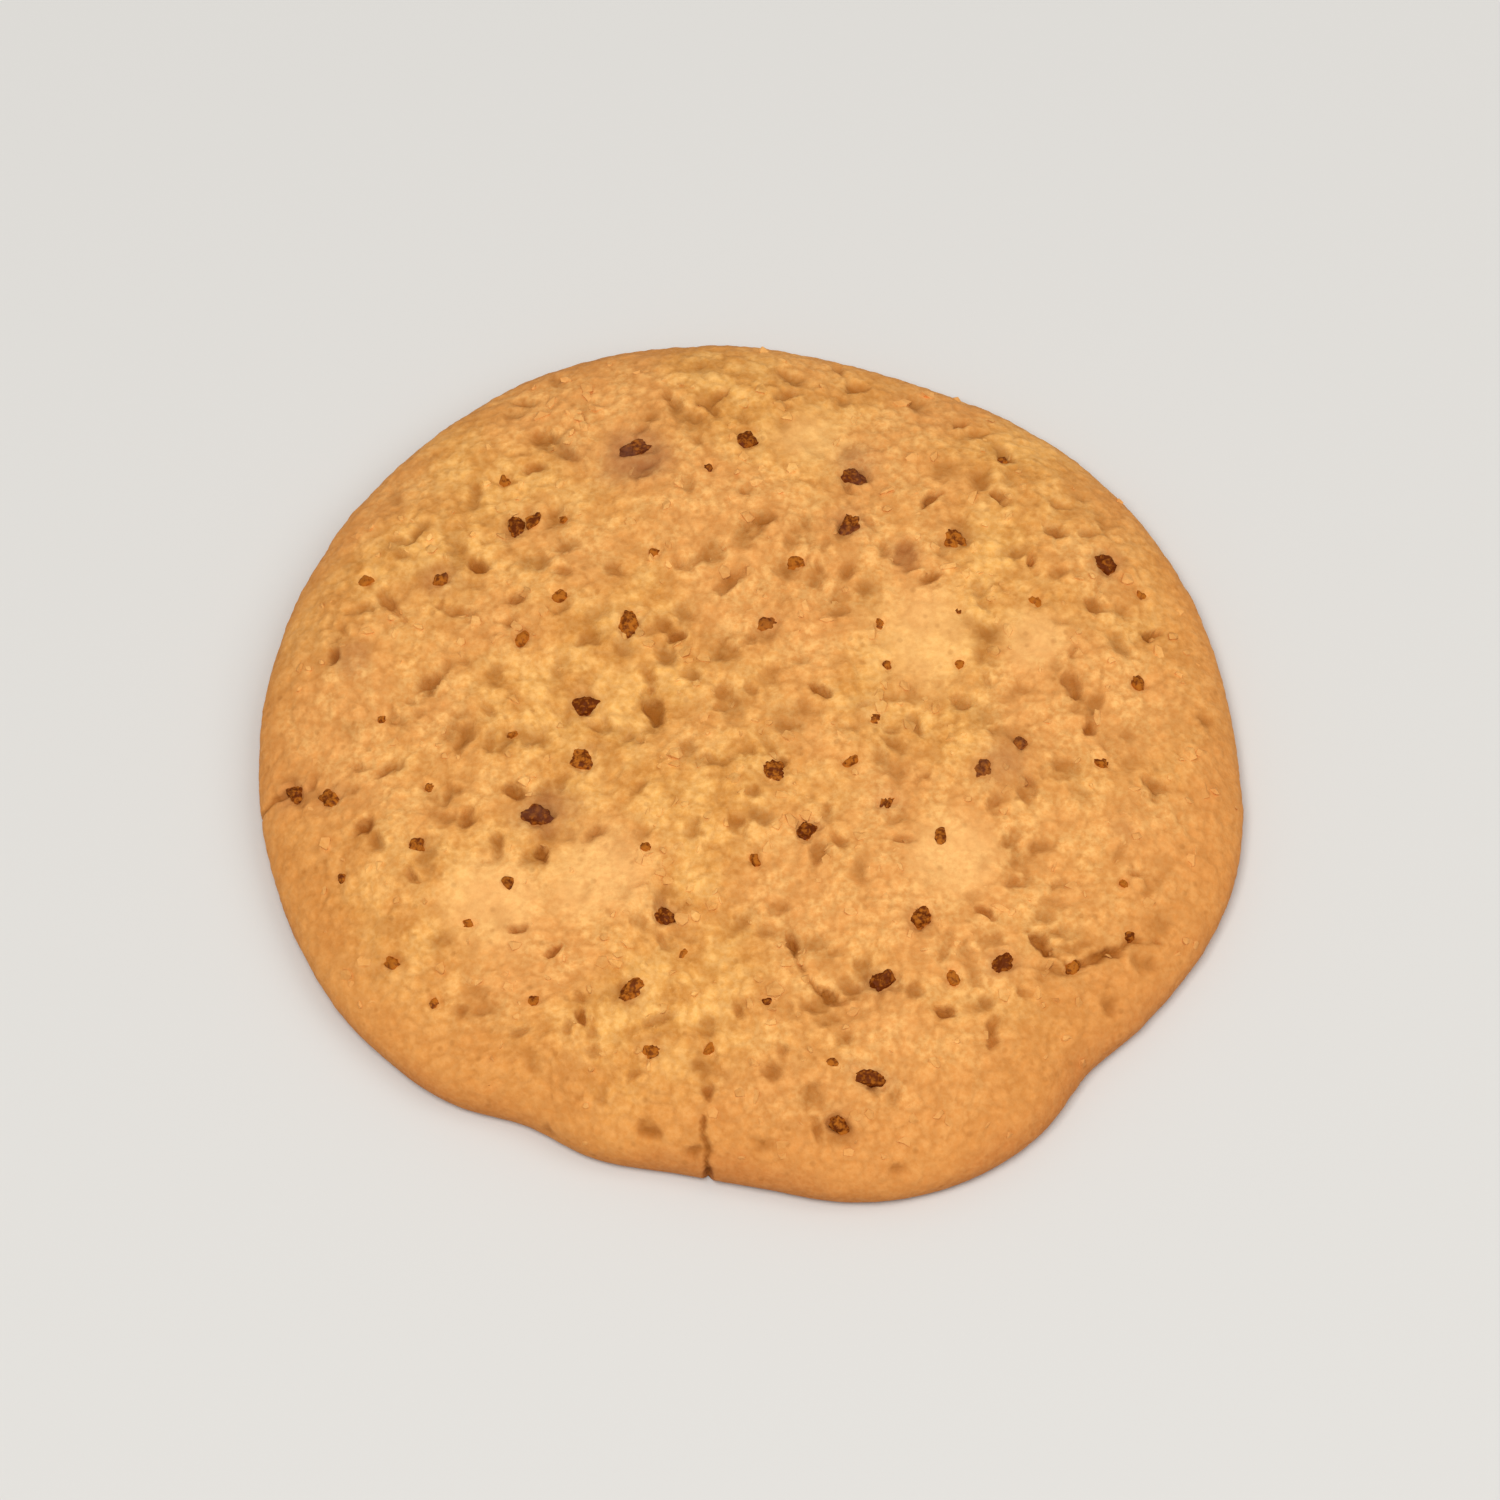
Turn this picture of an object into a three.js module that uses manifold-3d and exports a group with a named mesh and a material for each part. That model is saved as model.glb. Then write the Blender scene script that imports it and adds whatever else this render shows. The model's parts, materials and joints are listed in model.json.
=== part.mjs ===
// A blueberry cookie: one round of baked dough, lying on its base with the crust up.
// Its outline is gently lobed, its edge is cracked, and small pieces of blueberry and open pores show
// all over the crust. The base is flat in the middle and curls up a little towards the edge.
// Millimetres, +Z up, the origin at the base, in the middle of the outline's box.
import * as THREE from 'three';
import { mergeVertices } from 'three/addons/utils/BufferGeometryUtils.js';
import Module from 'manifold-3d';

// Driving dimensions of the baked round
const MEAN_RADIUS = 38.3; // of the edge, at its widest level
const WIDEST_AT = 1.9; // height of the widest level
const SHOULDER_RISE = 5.6; // from the widest level to the top of the shoulder
const DOME_RISE = 1.0; // from the shoulder to the middle
const FOOT_INSET = 1.6; // how far the foot stands in from the widest level
const FOOT_SPARE = 0.3; // how far the rounded foot would reach below the base that trims it
const FLAT_RADIUS = 32; // of the flat middle of the base
const FLAT_CORNERS = 8;
const BASE_CURL = 0.025; // rise of the base for each millimetre outside its flat middle
const CROWN_POWER = 4.6; // how far out the crust stays level before it rolls over the edge

// The uneven edge: [direction in degrees, distance from the middle at the widest level], once round
const EDGE = [
  [-165, 38.8],
  [-140, 38.5],
  [-128, 37.6],
  [-119, 36],
  [-110, 36.4],
  [-98, 36.1],
  [-88, 37],
  [-78, 39],
  [-66, 40.1],
  [-54, 39.5],
  [-46, 38],
  [-36, 38.6],
  [-15, 39.8],
  [5, 38.7],
  [30, 38.4],
  [50, 38],
  [70, 37],
  [90, 38],
  [112, 39],
  [140, 39],
  [170, 38.9],
];
// Low swells of the crust: [height, length, heading in degrees, shift in degrees]
const SWELLS = [
  [0.17, 31, 20, 40],
  [0.15, 23, 100, 200],
  [0.13, 17, 150, 90],
  [0.1, 12.5, 65, 310],
  [0.08, 9.5, 10, 120],
];

// Places on the crust, each as [x, y, length, width, heading in degrees]
// The largest pieces of blueberry
const LARGE_BITS = [
  [-16.5, -7.5, 3.2, 2.4, 50],
  [-13, 2.5, 2.4, 1.9, 110],
  [-13, -2.5, 2.8, 2, 60],
  [0, 27, 2.2, 2, 90],
  [8.5, 23.5, 2.4, 1.9, 5],
  [8, 18.5, 2.1, 1.9, 90],
  [16.5, 17.5, 2.6, 2, 160],
  [28.5, 16, 2.5, 1.9, 50],
  [-9.5, 9.5, 2.8, 1.8, 50],
  [-18.5, 19, 3.1, 1.5, 60],
  [-9, 26, 3.2, 1.8, 5],
  [2, -4, 2.2, 2, 100],
  [4.5, -9, 2.1, 1.8, 40],
  [11, -6.5, 1.9, 1.4, 0],
  [13.5, -16.5, 2.5, 2.2, 20],
  [20, -20, 2.6, 1.8, 10],
  [10.5, -22, 2.6, 1.7, 5],
  [9.5, -30, 3, 1.6, 165],
  [7, -33.5, 1.8, 1.5, 120],
  [-6.5, -16.5, 2.3, 1.8, 150],
  [-9, -22.5, 2.9, 1.7, 50],
  [-7.5, -27.5, 1.9, 1.7, 70],
  [-36, -4, 2.1, 1.8, 20],
  [-33, -5, 2.2, 1.5, 40],
  [18.5, -3.5, 2, 1.5, 30],
];
// Middling pieces
const MIDDLING_BITS = [
  [-30.5, 14.5, 1.7, 1.4, 150],
  [-24.5, 14, 1.9, 1.6, 20],
  [-15, 12, 1.6, 1.3, 170],
  [-18, 8.5, 1.9, 1.5, 150],
  [-7.5, 16, 1.6, 1.3, 80],
  [4, 15, 2, 1.5, 10],
  [1.5, 9.5, 2.1, 1.5, 45],
  [23, 12, 1.7, 1.4, 30],
  [31.5, 13.5, 1.7, 1.3, 160],
  [31, 5, 1.9, 1.2, 15],
  [28, -2.5, 1.6, 1.4, 70],
  [10, 1, 1.7, 1.2, 90],
  [8, -3, 1.7, 1.2, 150],
  [21.5, -1, 1.6, 1.4, 20],
  [-26, -10, 1.6, 1.4, 110],
  [-28, -19.5, 2.2, 1.3, 25],
  [-24.5, -23, 1.6, 1.3, 130],
  [-20, -29.5, 1.5, 1.3, 60],
  [-3, -27.5, 1.6, 1.2, 75],
  [-5, -19.5, 1.7, 1.4, 20],
  [0.5, -11.5, 1.8, 1.3, 120],
  [1.5, -23.5, 1.7, 1.3, 15],
  [16, -21.5, 1.9, 1.3, 80],
  [25.5, -20, 1.7, 1.4, 20],
  [30, -17, 1.3, 1.1, 60],
  [-19.5, 23.5, 1.5, 1.3, 35],
  [-32, -12, 1.4, 1.2, 70],
];
// Open pores
const LARGE_PORES = [
  [-28.5, 12, 3.6, 1, 125],
  [-23, 11, 2.5, 1, 175],
  [-25.5, 4.5, 3.8, 1.1, 45],
  [-1.5, 13.5, 3.2, 1.2, 50],
  [0.5, 18.5, 2, 1.3, 40],
  [-16, 27.5, 2.2, 1.1, 165],
  [-17, 24.5, 2.2, 1.2, 20],
  [-7.5, 2, 3.8, 1.3, 105],
  [-9.5, -0.5, 2.6, 1.5, 10],
  [-2, 3, 2.8, 1.3, 75],
  [-28.5, -3, 2.6, 1.1, 30],
  [-31, -2.5, 1.6, 0.9, 160],
  [-18.5, -5.5, 2, 1.3, 150],
  [-22, -8, 1.9, 1.1, 80],
  [-12, -9, 2, 1, 30],
  [3.5, -19, 2.4, 1.1, 110],
  [6.5, -23.5, 2.6, 1, 150],
  [23, -18.5, 2.9, 1.1, 125],
  [28.5, -18.5, 1.8, 0.9, 10],
  [19, -26, 2.8, 1.1, 70],
  [32, -4, 2.6, 1, 170],
  [22, -5.5, 2.1, 1.2, 85],
  [19.5, -6.5, 1.9, 1.6, 80],
  [21, -13, 1.9, 1.2, 0],
  [25.5, 4.5, 2.5, 1.4, 120],
  [27.5, 12, 2.1, 1.1, 150],
  [12.5, 16, 2.7, 1.3, 75],
  [17, 2.5, 2, 1.3, 160],
  [5.5, 3.5, 1.9, 1, 145],
  [-2.5, 31.5, 2.3, 1, 50],
  [3, 31.5, 2.3, 1, 20],
  [-18.5, 12, 1.8, 1.1, 0],
  [-21.5, 15, 1.8, 1, 150],
  [-3, -31, 1.7, 1.2, 90],
];
// The smallest pieces and pores, scattered by a seeded draw. A share is width over length.
const SMALL_BITS = {
  seed: 11,
  count: 14,
  shortest: 1,
  longest: 1.5,
  slimmestShare: 0.6,
  roundestShare: 0.95,
  clear: 3.6,
  reach: 0.93,
};
const SMALL_PORES = {
  seed: 47,
  count: 18,
  shortest: 1.3,
  longest: 2.1,
  slimmestShare: 0.4,
  roundestShare: 0.65,
  clear: 3,
  reach: 0.9,
};
const BIT_PROUD = 0.15; // how far a piece stands above the crust
const BIT_DEEP = 1.5; // how far it reaches down into the dough
const BIT_UNEVEN = 0.16; // share by which its corners stray in or out
const PIT_MARGIN = 0.6; // open rim round a piece that has shrunk in its hole
const PIT_DEEP = 0.6;
const PORE_DEEP = 0.8;
const HOLE_LIFT = 0.1; // how far the middle of a pit or pore lies above the crust
const HOLE_UNEVEN = 0.1;

// Cracks: [direction in degrees, distance from the middle along the crust] for each point of their route
const CRACKS = [
  {
    width: 0.6,
    depth: 1.2,
    route: [[-96, 36], [-95.5, 38], [-95, 40.5], [-94.5, 43]],
  },
  {
    width: 0.5,
    depth: 0.8,
    route: [[186, 35.5], [186.5, 38], [187, 40.5], [187, 42.5]],
  },
  {
    width: 0.45,
    depth: 0.8,
    route: [[-38, 28], [-39, 31], [-38, 32.5], [-33.5, 33.5], [-30, 34.5], [-27, 37]],
  },
  {
    width: 0.35,
    depth: 0.6,
    route: [[-80, 17], [-79, 20], [-78.5, 22], [-74.5, 23.5], [-69.5, 24.5]],
  },
];

// Fineness of the facets
const SPHERE_DETAIL = 15;
const BASE_SHARE = 0.02; // weight of the base against the crust in the spread of facets
const CROWN_STEPS = 240; // of the section, over the crust
const SKIRT_STEPS = 30; // and under the edge
const CRUMB_JITTER = 0.13; // roughness of the crumb, facet by facet
const JITTER_SEED = 5;
const CRACK_POINTS = 9;
const MERGE_DISTANCE = 1e-4;

const radians = THREE.MathUtils.degToRad;
const wasm = await Module();
wasm.setup();

// A repeatable stream of numbers from 0 to 1.
function seeded(seed) {
  let state = seed;
  return () => {
    state = (state + 0x6d2b79f5) | 0;
    let mixed = Math.imul(state ^ (state >>> 15), state | 1);
    mixed ^= mixed + Math.imul(mixed ^ (mixed >>> 7), mixed | 61);
    return ((mixed ^ (mixed >>> 14)) >>> 0) / 4294967296;
  };
}

// Distance to the edge in a direction, in radians: a smooth curve through the points of EDGE.
function edge(angle) {
  const count = EDGE.length;
  const pointAt = (i) => {
    const [direction, distance] = EDGE[(i + count) % count];
    return [direction + 360 * Math.floor(i / count), distance];
  };
  const start = EDGE[0][0];
  const direction = start + THREE.MathUtils.euclideanModulo(THREE.MathUtils.radToDeg(angle) - start, 360);
  let i = 0;
  while (pointAt(i + 1)[0] <= direction) i++;
  const [before, near, far, after] = [i - 1, i, i + 1, i + 2].map(pointAt);
  const span = far[0] - near[0];
  const lean = (a, b, c) => {
    const [left, right] = [b[0] - a[0], c[0] - b[0]];
    return (((c[1] - b[1]) * left) / right + ((b[1] - a[1]) * right) / left) / (left + right);
  };
  const t = (direction - near[0]) / span;
  const [leanNear, leanFar] = [lean(before, near, far) * span, lean(near, far, after) * span];
  return (
    near[1] * (2 * t ** 3 - 3 * t ** 2 + 1) +
    leanNear * (t ** 3 - 2 * t ** 2 + t) +
    far[1] * (3 * t ** 2 - 2 * t ** 3) +
    leanFar * (t ** 3 - t ** 2)
  );
}

// Height of the low swells at a place on the crust.
function swell(x, y) {
  let height = 0;
  for (const [rise, length, heading, shift] of SWELLS) {
    const along = x * Math.cos(radians(heading)) + y * Math.sin(radians(heading));
    height += rise * Math.sin((2 * Math.PI * along) / length + radians(shift));
  }
  return height;
}

// The mean section from the middle of the crust, over the edge and under to the middle of the base:
// share of the way to the edge, height, and the distance covered along it.
function section() {
  const points = [];
  for (let i = 0; i <= CROWN_STEPS; i++) {
    const turn = ((i / CROWN_STEPS) * Math.PI) / 2;
    const share = Math.sin(turn) ** (2 / CROWN_POWER);
    const height = WIDEST_AT + SHOULDER_RISE * Math.cos(turn) + DOME_RISE * (1 - share ** 2);
    points.push({ share, height });
  }
  for (let i = 1; i <= SKIRT_STEPS; i++) {
    const turn = ((i / SKIRT_STEPS) * Math.PI) / 2;
    const share = 1 - (FOOT_INSET / MEAN_RADIUS) * (1 - Math.cos(turn));
    points.push({ share, height: WIDEST_AT - (WIDEST_AT + FOOT_SPARE) * Math.sin(turn) });
  }
  points.push({ share: 0, height: -FOOT_SPARE });
  points[0].reach = 0;
  for (let i = 1; i < points.length; i++) {
    const [a, b] = [points[i - 1], points[i]];
    b.reach = a.reach + Math.hypot((b.share - a.share) * MEAN_RADIUS, b.height - a.height);
  }
  return points;
}

const SECTION = section();
const FOOT_REACH = SECTION[SECTION.length - 2].reach;

// Share, height and slope of the mean section at a distance along it.
function sectionAt(reach) {
  let i = 1;
  while (i < SECTION.length - 1 && SECTION[i].reach < reach) i++;
  const [a, b] = [SECTION[i - 1], SECTION[i]];
  const part = Math.min(1, (reach - a.reach) / (b.reach - a.reach));
  const slope = Math.atan2(b.height - a.height, (b.share - a.share) * MEAN_RADIUS);
  return {
    share: a.share + part * (b.share - a.share),
    height: a.height + part * (b.height - a.height),
    slope,
  };
}

// A point of the skin and its outward normal, from a direction and a distance along the section.
function skin(angle, reach) {
  const { share, height, slope } = sectionAt(reach);
  const radius = share * edge(angle);
  const [x, y] = [radius * Math.cos(angle), radius * Math.sin(angle)];
  const crust = THREE.MathUtils.smoothstep(height, WIDEST_AT, WIDEST_AT + SHOULDER_RISE);
  const out = -Math.sin(slope);
  return {
    point: new THREE.Vector3(x, y, height + crust * swell(x, y)),
    normal: new THREE.Vector3(out * Math.cos(angle), out * Math.sin(angle), Math.cos(slope)),
    loose: reach < FOOT_REACH ? THREE.MathUtils.smoothstep(height, 0, WIDEST_AT) : 0,
  };
}

// The skin over a place given by x and y.
function skinOver(x, y) {
  const angle = Math.atan2(y, x);
  const share = Math.hypot(x, y) / edge(angle);
  const i = SECTION.findIndex((p) => p.share >= share);
  const [a, b] = [SECTION[i - 1] ?? SECTION[0], SECTION[i]];
  const part = b.share > a.share ? (share - a.share) / (b.share - a.share) : 0;
  return skin(angle, a.reach + part * (b.reach - a.reach));
}

// A closed manifold solid from a geometry, its loose corners merged.
function solidFrom(geometry) {
  for (const name of ['normal', 'uv']) geometry.deleteAttribute(name);
  const merged = mergeVertices(geometry, MERGE_DISTANCE);
  return new wasm.Manifold(
    new wasm.Mesh({
      numProp: 3,
      vertProperties: new Float32Array(merged.attributes.position.array),
      triVerts: new Uint32Array(merged.index.array),
    }),
  );
}

// The area swept by the section up to each of its points, with the base counted for less.
function sweptArea() {
  const sums = [0];
  for (let i = 1; i < SECTION.length; i++) {
    const [a, b] = [SECTION[i - 1], SECTION[i]];
    const weight = i < SECTION.length - 1 ? 1 : BASE_SHARE;
    sums.push(sums[i - 1] + weight * (a.share + b.share) * (b.reach - a.reach));
  }
  return sums;
}

// The baked round: an even sphere of facets, each corner moved to its place on the skin.
function bakedRound() {
  const sums = sweptArea();
  const whole = sums[sums.length - 1];
  const sphere = new THREE.IcosahedronGeometry(1, SPHERE_DETAIL);
  for (const name of ['normal', 'uv']) sphere.deleteAttribute(name);
  const round = mergeVertices(sphere, MERGE_DISTANCE);
  const corners = round.attributes.position;
  const draw = seeded(JITTER_SEED);
  for (let c = 0; c < corners.count; c++) {
    const up = THREE.MathUtils.clamp(corners.getZ(c), -1, 1);
    const wanted = ((1 - up) / 2) * whole;
    let i = 1;
    while (i < sums.length - 1 && sums[i] < wanted) i++;
    const [a, b] = [SECTION[i - 1], SECTION[i]];
    // Between two points of the section the swept area goes with the square of the radius.
    const part = (wanted - sums[i - 1]) / (sums[i] - sums[i - 1]);
    const share = Math.sqrt(a.share ** 2 + part * (b.share ** 2 - a.share ** 2));
    const along = b.share === a.share ? part : (share - a.share) / (b.share - a.share);
    const reach = a.reach + along * (b.reach - a.reach);
    const { point, normal, loose } = skin(Math.atan2(corners.getY(c), corners.getX(c)), reach);
    point.addScaledVector(normal, loose * CRUMB_JITTER * (2 * draw() - 1));
    corners.setXYZ(c, point.x, point.y, point.z);
  }
  return solidFrom(round);
}

// The space above the base: flat in the middle, with a gentle rise outside it.
function aboveBase() {
  const height = 2 * (WIDEST_AT + SHOULDER_RISE + DOME_RISE);
  const bowl = new THREE.CylinderGeometry(FLAT_RADIUS + height / BASE_CURL, FLAT_RADIUS, height, FLAT_CORNERS);
  return solidFrom(bowl.rotateX(Math.PI / 2).translate(0, 0, height / 2));
}

// A faceted lump of half-lengths (long, wide, deep) laid on the skin, its heading turned about the normal.
function lump({ at, long, wide, deep, turn, rise, detail, uneven, draw }) {
  const shape = new THREE.IcosahedronGeometry(1, detail);
  for (const name of ['normal', 'uv']) shape.deleteAttribute(name);
  const merged = mergeVertices(shape, MERGE_DISTANCE);
  const corners = merged.attributes.position;
  for (let c = 0; c < corners.count; c++) {
    const stretch = 1 + uneven * (2 * draw() - 1);
    corners.setXYZ(c, corners.getX(c) * stretch, corners.getY(c) * stretch, corners.getZ(c) * stretch);
  }
  const upright = new THREE.Quaternion().setFromUnitVectors(new THREE.Vector3(0, 0, 1), at.normal);
  const heading = new THREE.Quaternion().setFromAxisAngle(new THREE.Vector3(0, 0, 1), radians(turn));
  const place = new THREE.Matrix4().compose(
    at.point.clone().addScaledVector(at.normal, rise),
    upright.multiply(heading),
    new THREE.Vector3(long, wide, deep),
  );
  return solidFrom(merged.applyMatrix4(place));
}

// A place on the crust from its row of numbers.
function spot([x, y, long, wide, turn]) {
  return { x, y, long, wide, turn };
}

// Places on the crust by a seeded draw, each clear of all that are there before it.
function scatter({ seed, count, shortest, longest, slimmestShare, roundestShare, clear, reach }, taken) {
  const draw = seeded(seed);
  const placed = [];
  while (placed.length < count) {
    const [radius, angle] = [MEAN_RADIUS * reach * Math.sqrt(draw()), 2 * Math.PI * draw()];
    const [size, slim, turn] = [draw(), draw(), 180 * draw()];
    const [x, y] = [radius * Math.cos(angle), radius * Math.sin(angle)];
    if ([...taken, ...placed].some((other) => Math.hypot(other.x - x, other.y - y) < clear)) continue;
    const long = shortest + size * (longest - shortest);
    const wide = long * (slimmestShare + slim * (roundestShare - slimmestShare));
    placed.push({ x, y, long, wide, turn });
  }
  return placed;
}

// A V-shaped cutter along a route on the skin, tapered to a point at both ends.
function crackCutter({ width, depth, route }) {
  const points = route.map(([direction, reach]) => new THREE.Vector3(direction, reach, 0));
  const curve = new THREE.CatmullRomCurve3(points);
  const rings = [];
  for (let i = 0; i <= CRACK_POINTS; i++) {
    const { x: direction, y: reach } = curve.getPoint(i / CRACK_POINTS);
    rings.push(skin(radians(direction), reach));
  }
  const corners = [];
  rings.forEach(({ point, normal }, i) => {
    const ahead = rings[Math.min(i + 1, CRACK_POINTS)].point;
    const behind = rings[Math.max(i - 1, 0)].point;
    const side = new THREE.Vector3().subVectors(ahead, behind).cross(normal).normalize();
    const open = Math.sin((Math.PI * (i + 0.5)) / (CRACK_POINTS + 1));
    const lip = normal.clone().multiplyScalar(width);
    corners.push(
      point.clone().addScaledVector(side, -width * open).add(lip),
      point.clone().addScaledVector(normal, -depth * open),
      point.clone().addScaledVector(side, width * open).add(lip),
    );
  });
  const faces = [0, 1, 2];
  for (let i = 0; i < CRACK_POINTS; i++) {
    for (let k = 0; k < 3; k++) {
      const [a, b] = [3 * i + k, 3 * i + ((k + 1) % 3)];
      faces.push(a, a + 3, b, b, a + 3, b + 3);
    }
  }
  const last = 3 * CRACK_POINTS;
  faces.push(last, last + 2, last + 1);
  const geometry = new THREE.BufferGeometry().setFromPoints(corners).setIndex(faces);
  const cutter = solidFrom(geometry);
  return cutter.volume() > 0 ? cutter : solidFrom(geometry.setIndex(faces.reverse()));
}

// The cookie: the round, less its pits, pores and cracks, with the pieces of blueberry baked in.
function bakedCookie() {
  const large = LARGE_BITS.map(spot);
  const named = [...large, ...MIDDLING_BITS.map(spot)];
  const openPores = LARGE_PORES.map(spot);
  const bits = [...named, ...scatter(SMALL_BITS, [...named, ...openPores])];
  const pores = [...openPores, ...scatter(SMALL_PORES, [...bits, ...openPores])];
  const draw = seeded(JITTER_SEED + 1);
  const pit = (bit) => ({
    at: skinOver(bit.x, bit.y),
    long: bit.long / 2 + PIT_MARGIN,
    wide: bit.wide / 2 + PIT_MARGIN,
    deep: PIT_DEEP,
    turn: bit.turn,
    rise: HOLE_LIFT,
    detail: 0,
    uneven: HOLE_UNEVEN,
    draw,
  });
  const pore = (hole) => ({
    ...pit(hole),
    long: hole.long / 2,
    wide: hole.wide / 2,
    deep: PORE_DEEP,
  });
  const piece = (bit, i) => ({
    at: skinOver(bit.x, bit.y),
    long: bit.long / 2,
    wide: bit.wide / 2,
    deep: (BIT_PROUD + BIT_DEEP) / 2,
    turn: bit.turn,
    rise: (BIT_PROUD - BIT_DEEP) / 2,
    detail: i < large.length ? 1 : 0,
    uneven: BIT_UNEVEN,
    draw,
  });
  const holes = wasm.Manifold.union([
    ...large.map((bit) => lump(pit(bit))),
    ...pores.map((hole) => lump(pore(hole))),
    ...CRACKS.map(crackCutter),
  ]);
  const pieces = wasm.Manifold.union(bits.map((bit, i) => lump(piece(bit, i))));
  return bakedRound().subtract(holes).add(pieces).intersect(aboveBase());
}

// A mesh of a solid, moved so that the origin is in the middle of its outline's box.
function meshOf(solid, name, material) {
  const { vertProperties, triVerts } = solid.getMesh();
  const geometry = new THREE.BufferGeometry();
  geometry.setAttribute('position', new THREE.BufferAttribute(new Float32Array(vertProperties), 3));
  geometry.setIndex(new THREE.BufferAttribute(new Uint32Array(triVerts), 1));
  geometry.computeBoundingBox();
  const middle = geometry.boundingBox.getCenter(new THREE.Vector3());
  geometry.translate(-middle.x, -middle.y, 0);
  geometry.computeVertexNormals();
  const mesh = new THREE.Mesh(geometry, material);
  mesh.name = name;
  return mesh;
}

const bakedDough = new THREE.MeshStandardMaterial({ color: 0xe3a157, roughness: 0.85, metalness: 0 });
const cookie = new THREE.Group();
cookie.add(meshOf(bakedCookie(), 'cookie', bakedDough));

export default cookie;
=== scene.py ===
"""A blueberry cookie on a pale studio floor.

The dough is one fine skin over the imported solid's form, with its swells, crumb, pores, pits and
cracks as real relief. The pieces of blueberry, the berry specks and the crumbs are pieces of their
own. Lengths are metres, with tables in millimetres, +Z up, and the origin lies under the middle of
the cookie.
"""

import json
import math
from collections import namedtuple

import bmesh
import bpy
import numpy as np
from mathutils import Matrix, Vector, noise


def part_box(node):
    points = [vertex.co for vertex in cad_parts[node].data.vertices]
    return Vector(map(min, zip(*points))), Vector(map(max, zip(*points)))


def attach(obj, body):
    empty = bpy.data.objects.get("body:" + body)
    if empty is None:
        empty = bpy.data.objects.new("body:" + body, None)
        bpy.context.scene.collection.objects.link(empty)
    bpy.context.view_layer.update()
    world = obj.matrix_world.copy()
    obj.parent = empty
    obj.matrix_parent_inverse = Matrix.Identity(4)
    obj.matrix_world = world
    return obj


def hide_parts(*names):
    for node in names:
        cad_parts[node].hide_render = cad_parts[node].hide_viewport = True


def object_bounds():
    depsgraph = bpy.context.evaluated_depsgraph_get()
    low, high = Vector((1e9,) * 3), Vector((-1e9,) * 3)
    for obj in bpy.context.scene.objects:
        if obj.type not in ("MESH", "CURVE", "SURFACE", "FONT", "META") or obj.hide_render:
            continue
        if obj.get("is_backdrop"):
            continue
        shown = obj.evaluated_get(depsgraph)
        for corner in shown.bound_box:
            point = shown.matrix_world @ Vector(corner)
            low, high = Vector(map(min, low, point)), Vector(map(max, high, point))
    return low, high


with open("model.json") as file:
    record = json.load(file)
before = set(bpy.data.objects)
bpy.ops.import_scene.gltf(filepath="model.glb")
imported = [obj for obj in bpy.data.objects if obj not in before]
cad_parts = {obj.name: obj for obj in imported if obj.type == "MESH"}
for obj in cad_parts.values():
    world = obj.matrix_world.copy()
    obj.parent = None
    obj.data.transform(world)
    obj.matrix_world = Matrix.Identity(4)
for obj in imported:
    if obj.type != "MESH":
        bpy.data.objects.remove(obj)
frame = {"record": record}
CAD_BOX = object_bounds()

bl_info = {
    "name": "Blueberry Cookie",
    "version": (1, 0, 0),
    "blender": (4, 5, 0),
    "location": "3D View > Sidebar > Cookie",
    "description": "Models a baked cookie with its crumb, pores, cracks and pieces of blueberry",
    "category": "Add Mesh",
}

MM = 0.001
# Mean distance from the middle of the cookie to its edge, in millimetres.
MEAN_RADIUS = 38.3
NODE = "cookie"
BODY = "root"
LOW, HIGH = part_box(NODE)

# The baked round, as in the solid: [direction in degrees, distance to the edge in millimetres].
EDGE = (
    (-165, 38.8),
    (-140, 38.5),
    (-128, 37.6),
    (-119, 36),
    (-110, 36.4),
    (-98, 36.1),
    (-88, 37),
    (-78, 39),
    (-66, 40.1),
    (-54, 39.5),
    (-46, 38),
    (-36, 38.6),
    (-15, 39.8),
    (5, 38.7),
    (30, 38.4),
    (50, 38),
    (70, 37),
    (90, 38),
    (112, 39),
    (140, 39),
    (170, 38.9),
)
# Low swells of the crust: height and length in millimetres, heading and shift in degrees.
SWELLS = (
    (0.17, 31, 20, 40),
    (0.15, 23, 100, 200),
    (0.13, 17, 150, 90),
    (0.1, 12.5, 65, 310),
    (0.08, 9.5, 10, 120),
)

Spot = namedtuple("Spot", "x y long wide turn strength", defaults=(1,))


def oval_spots(*rows):
    """Oval spots on the crust.

    Each is x, y, length and width in millimetres, heading in degrees, and strength where it is
    less than 1."""
    return tuple(Spot(*row) for row in rows)


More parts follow.
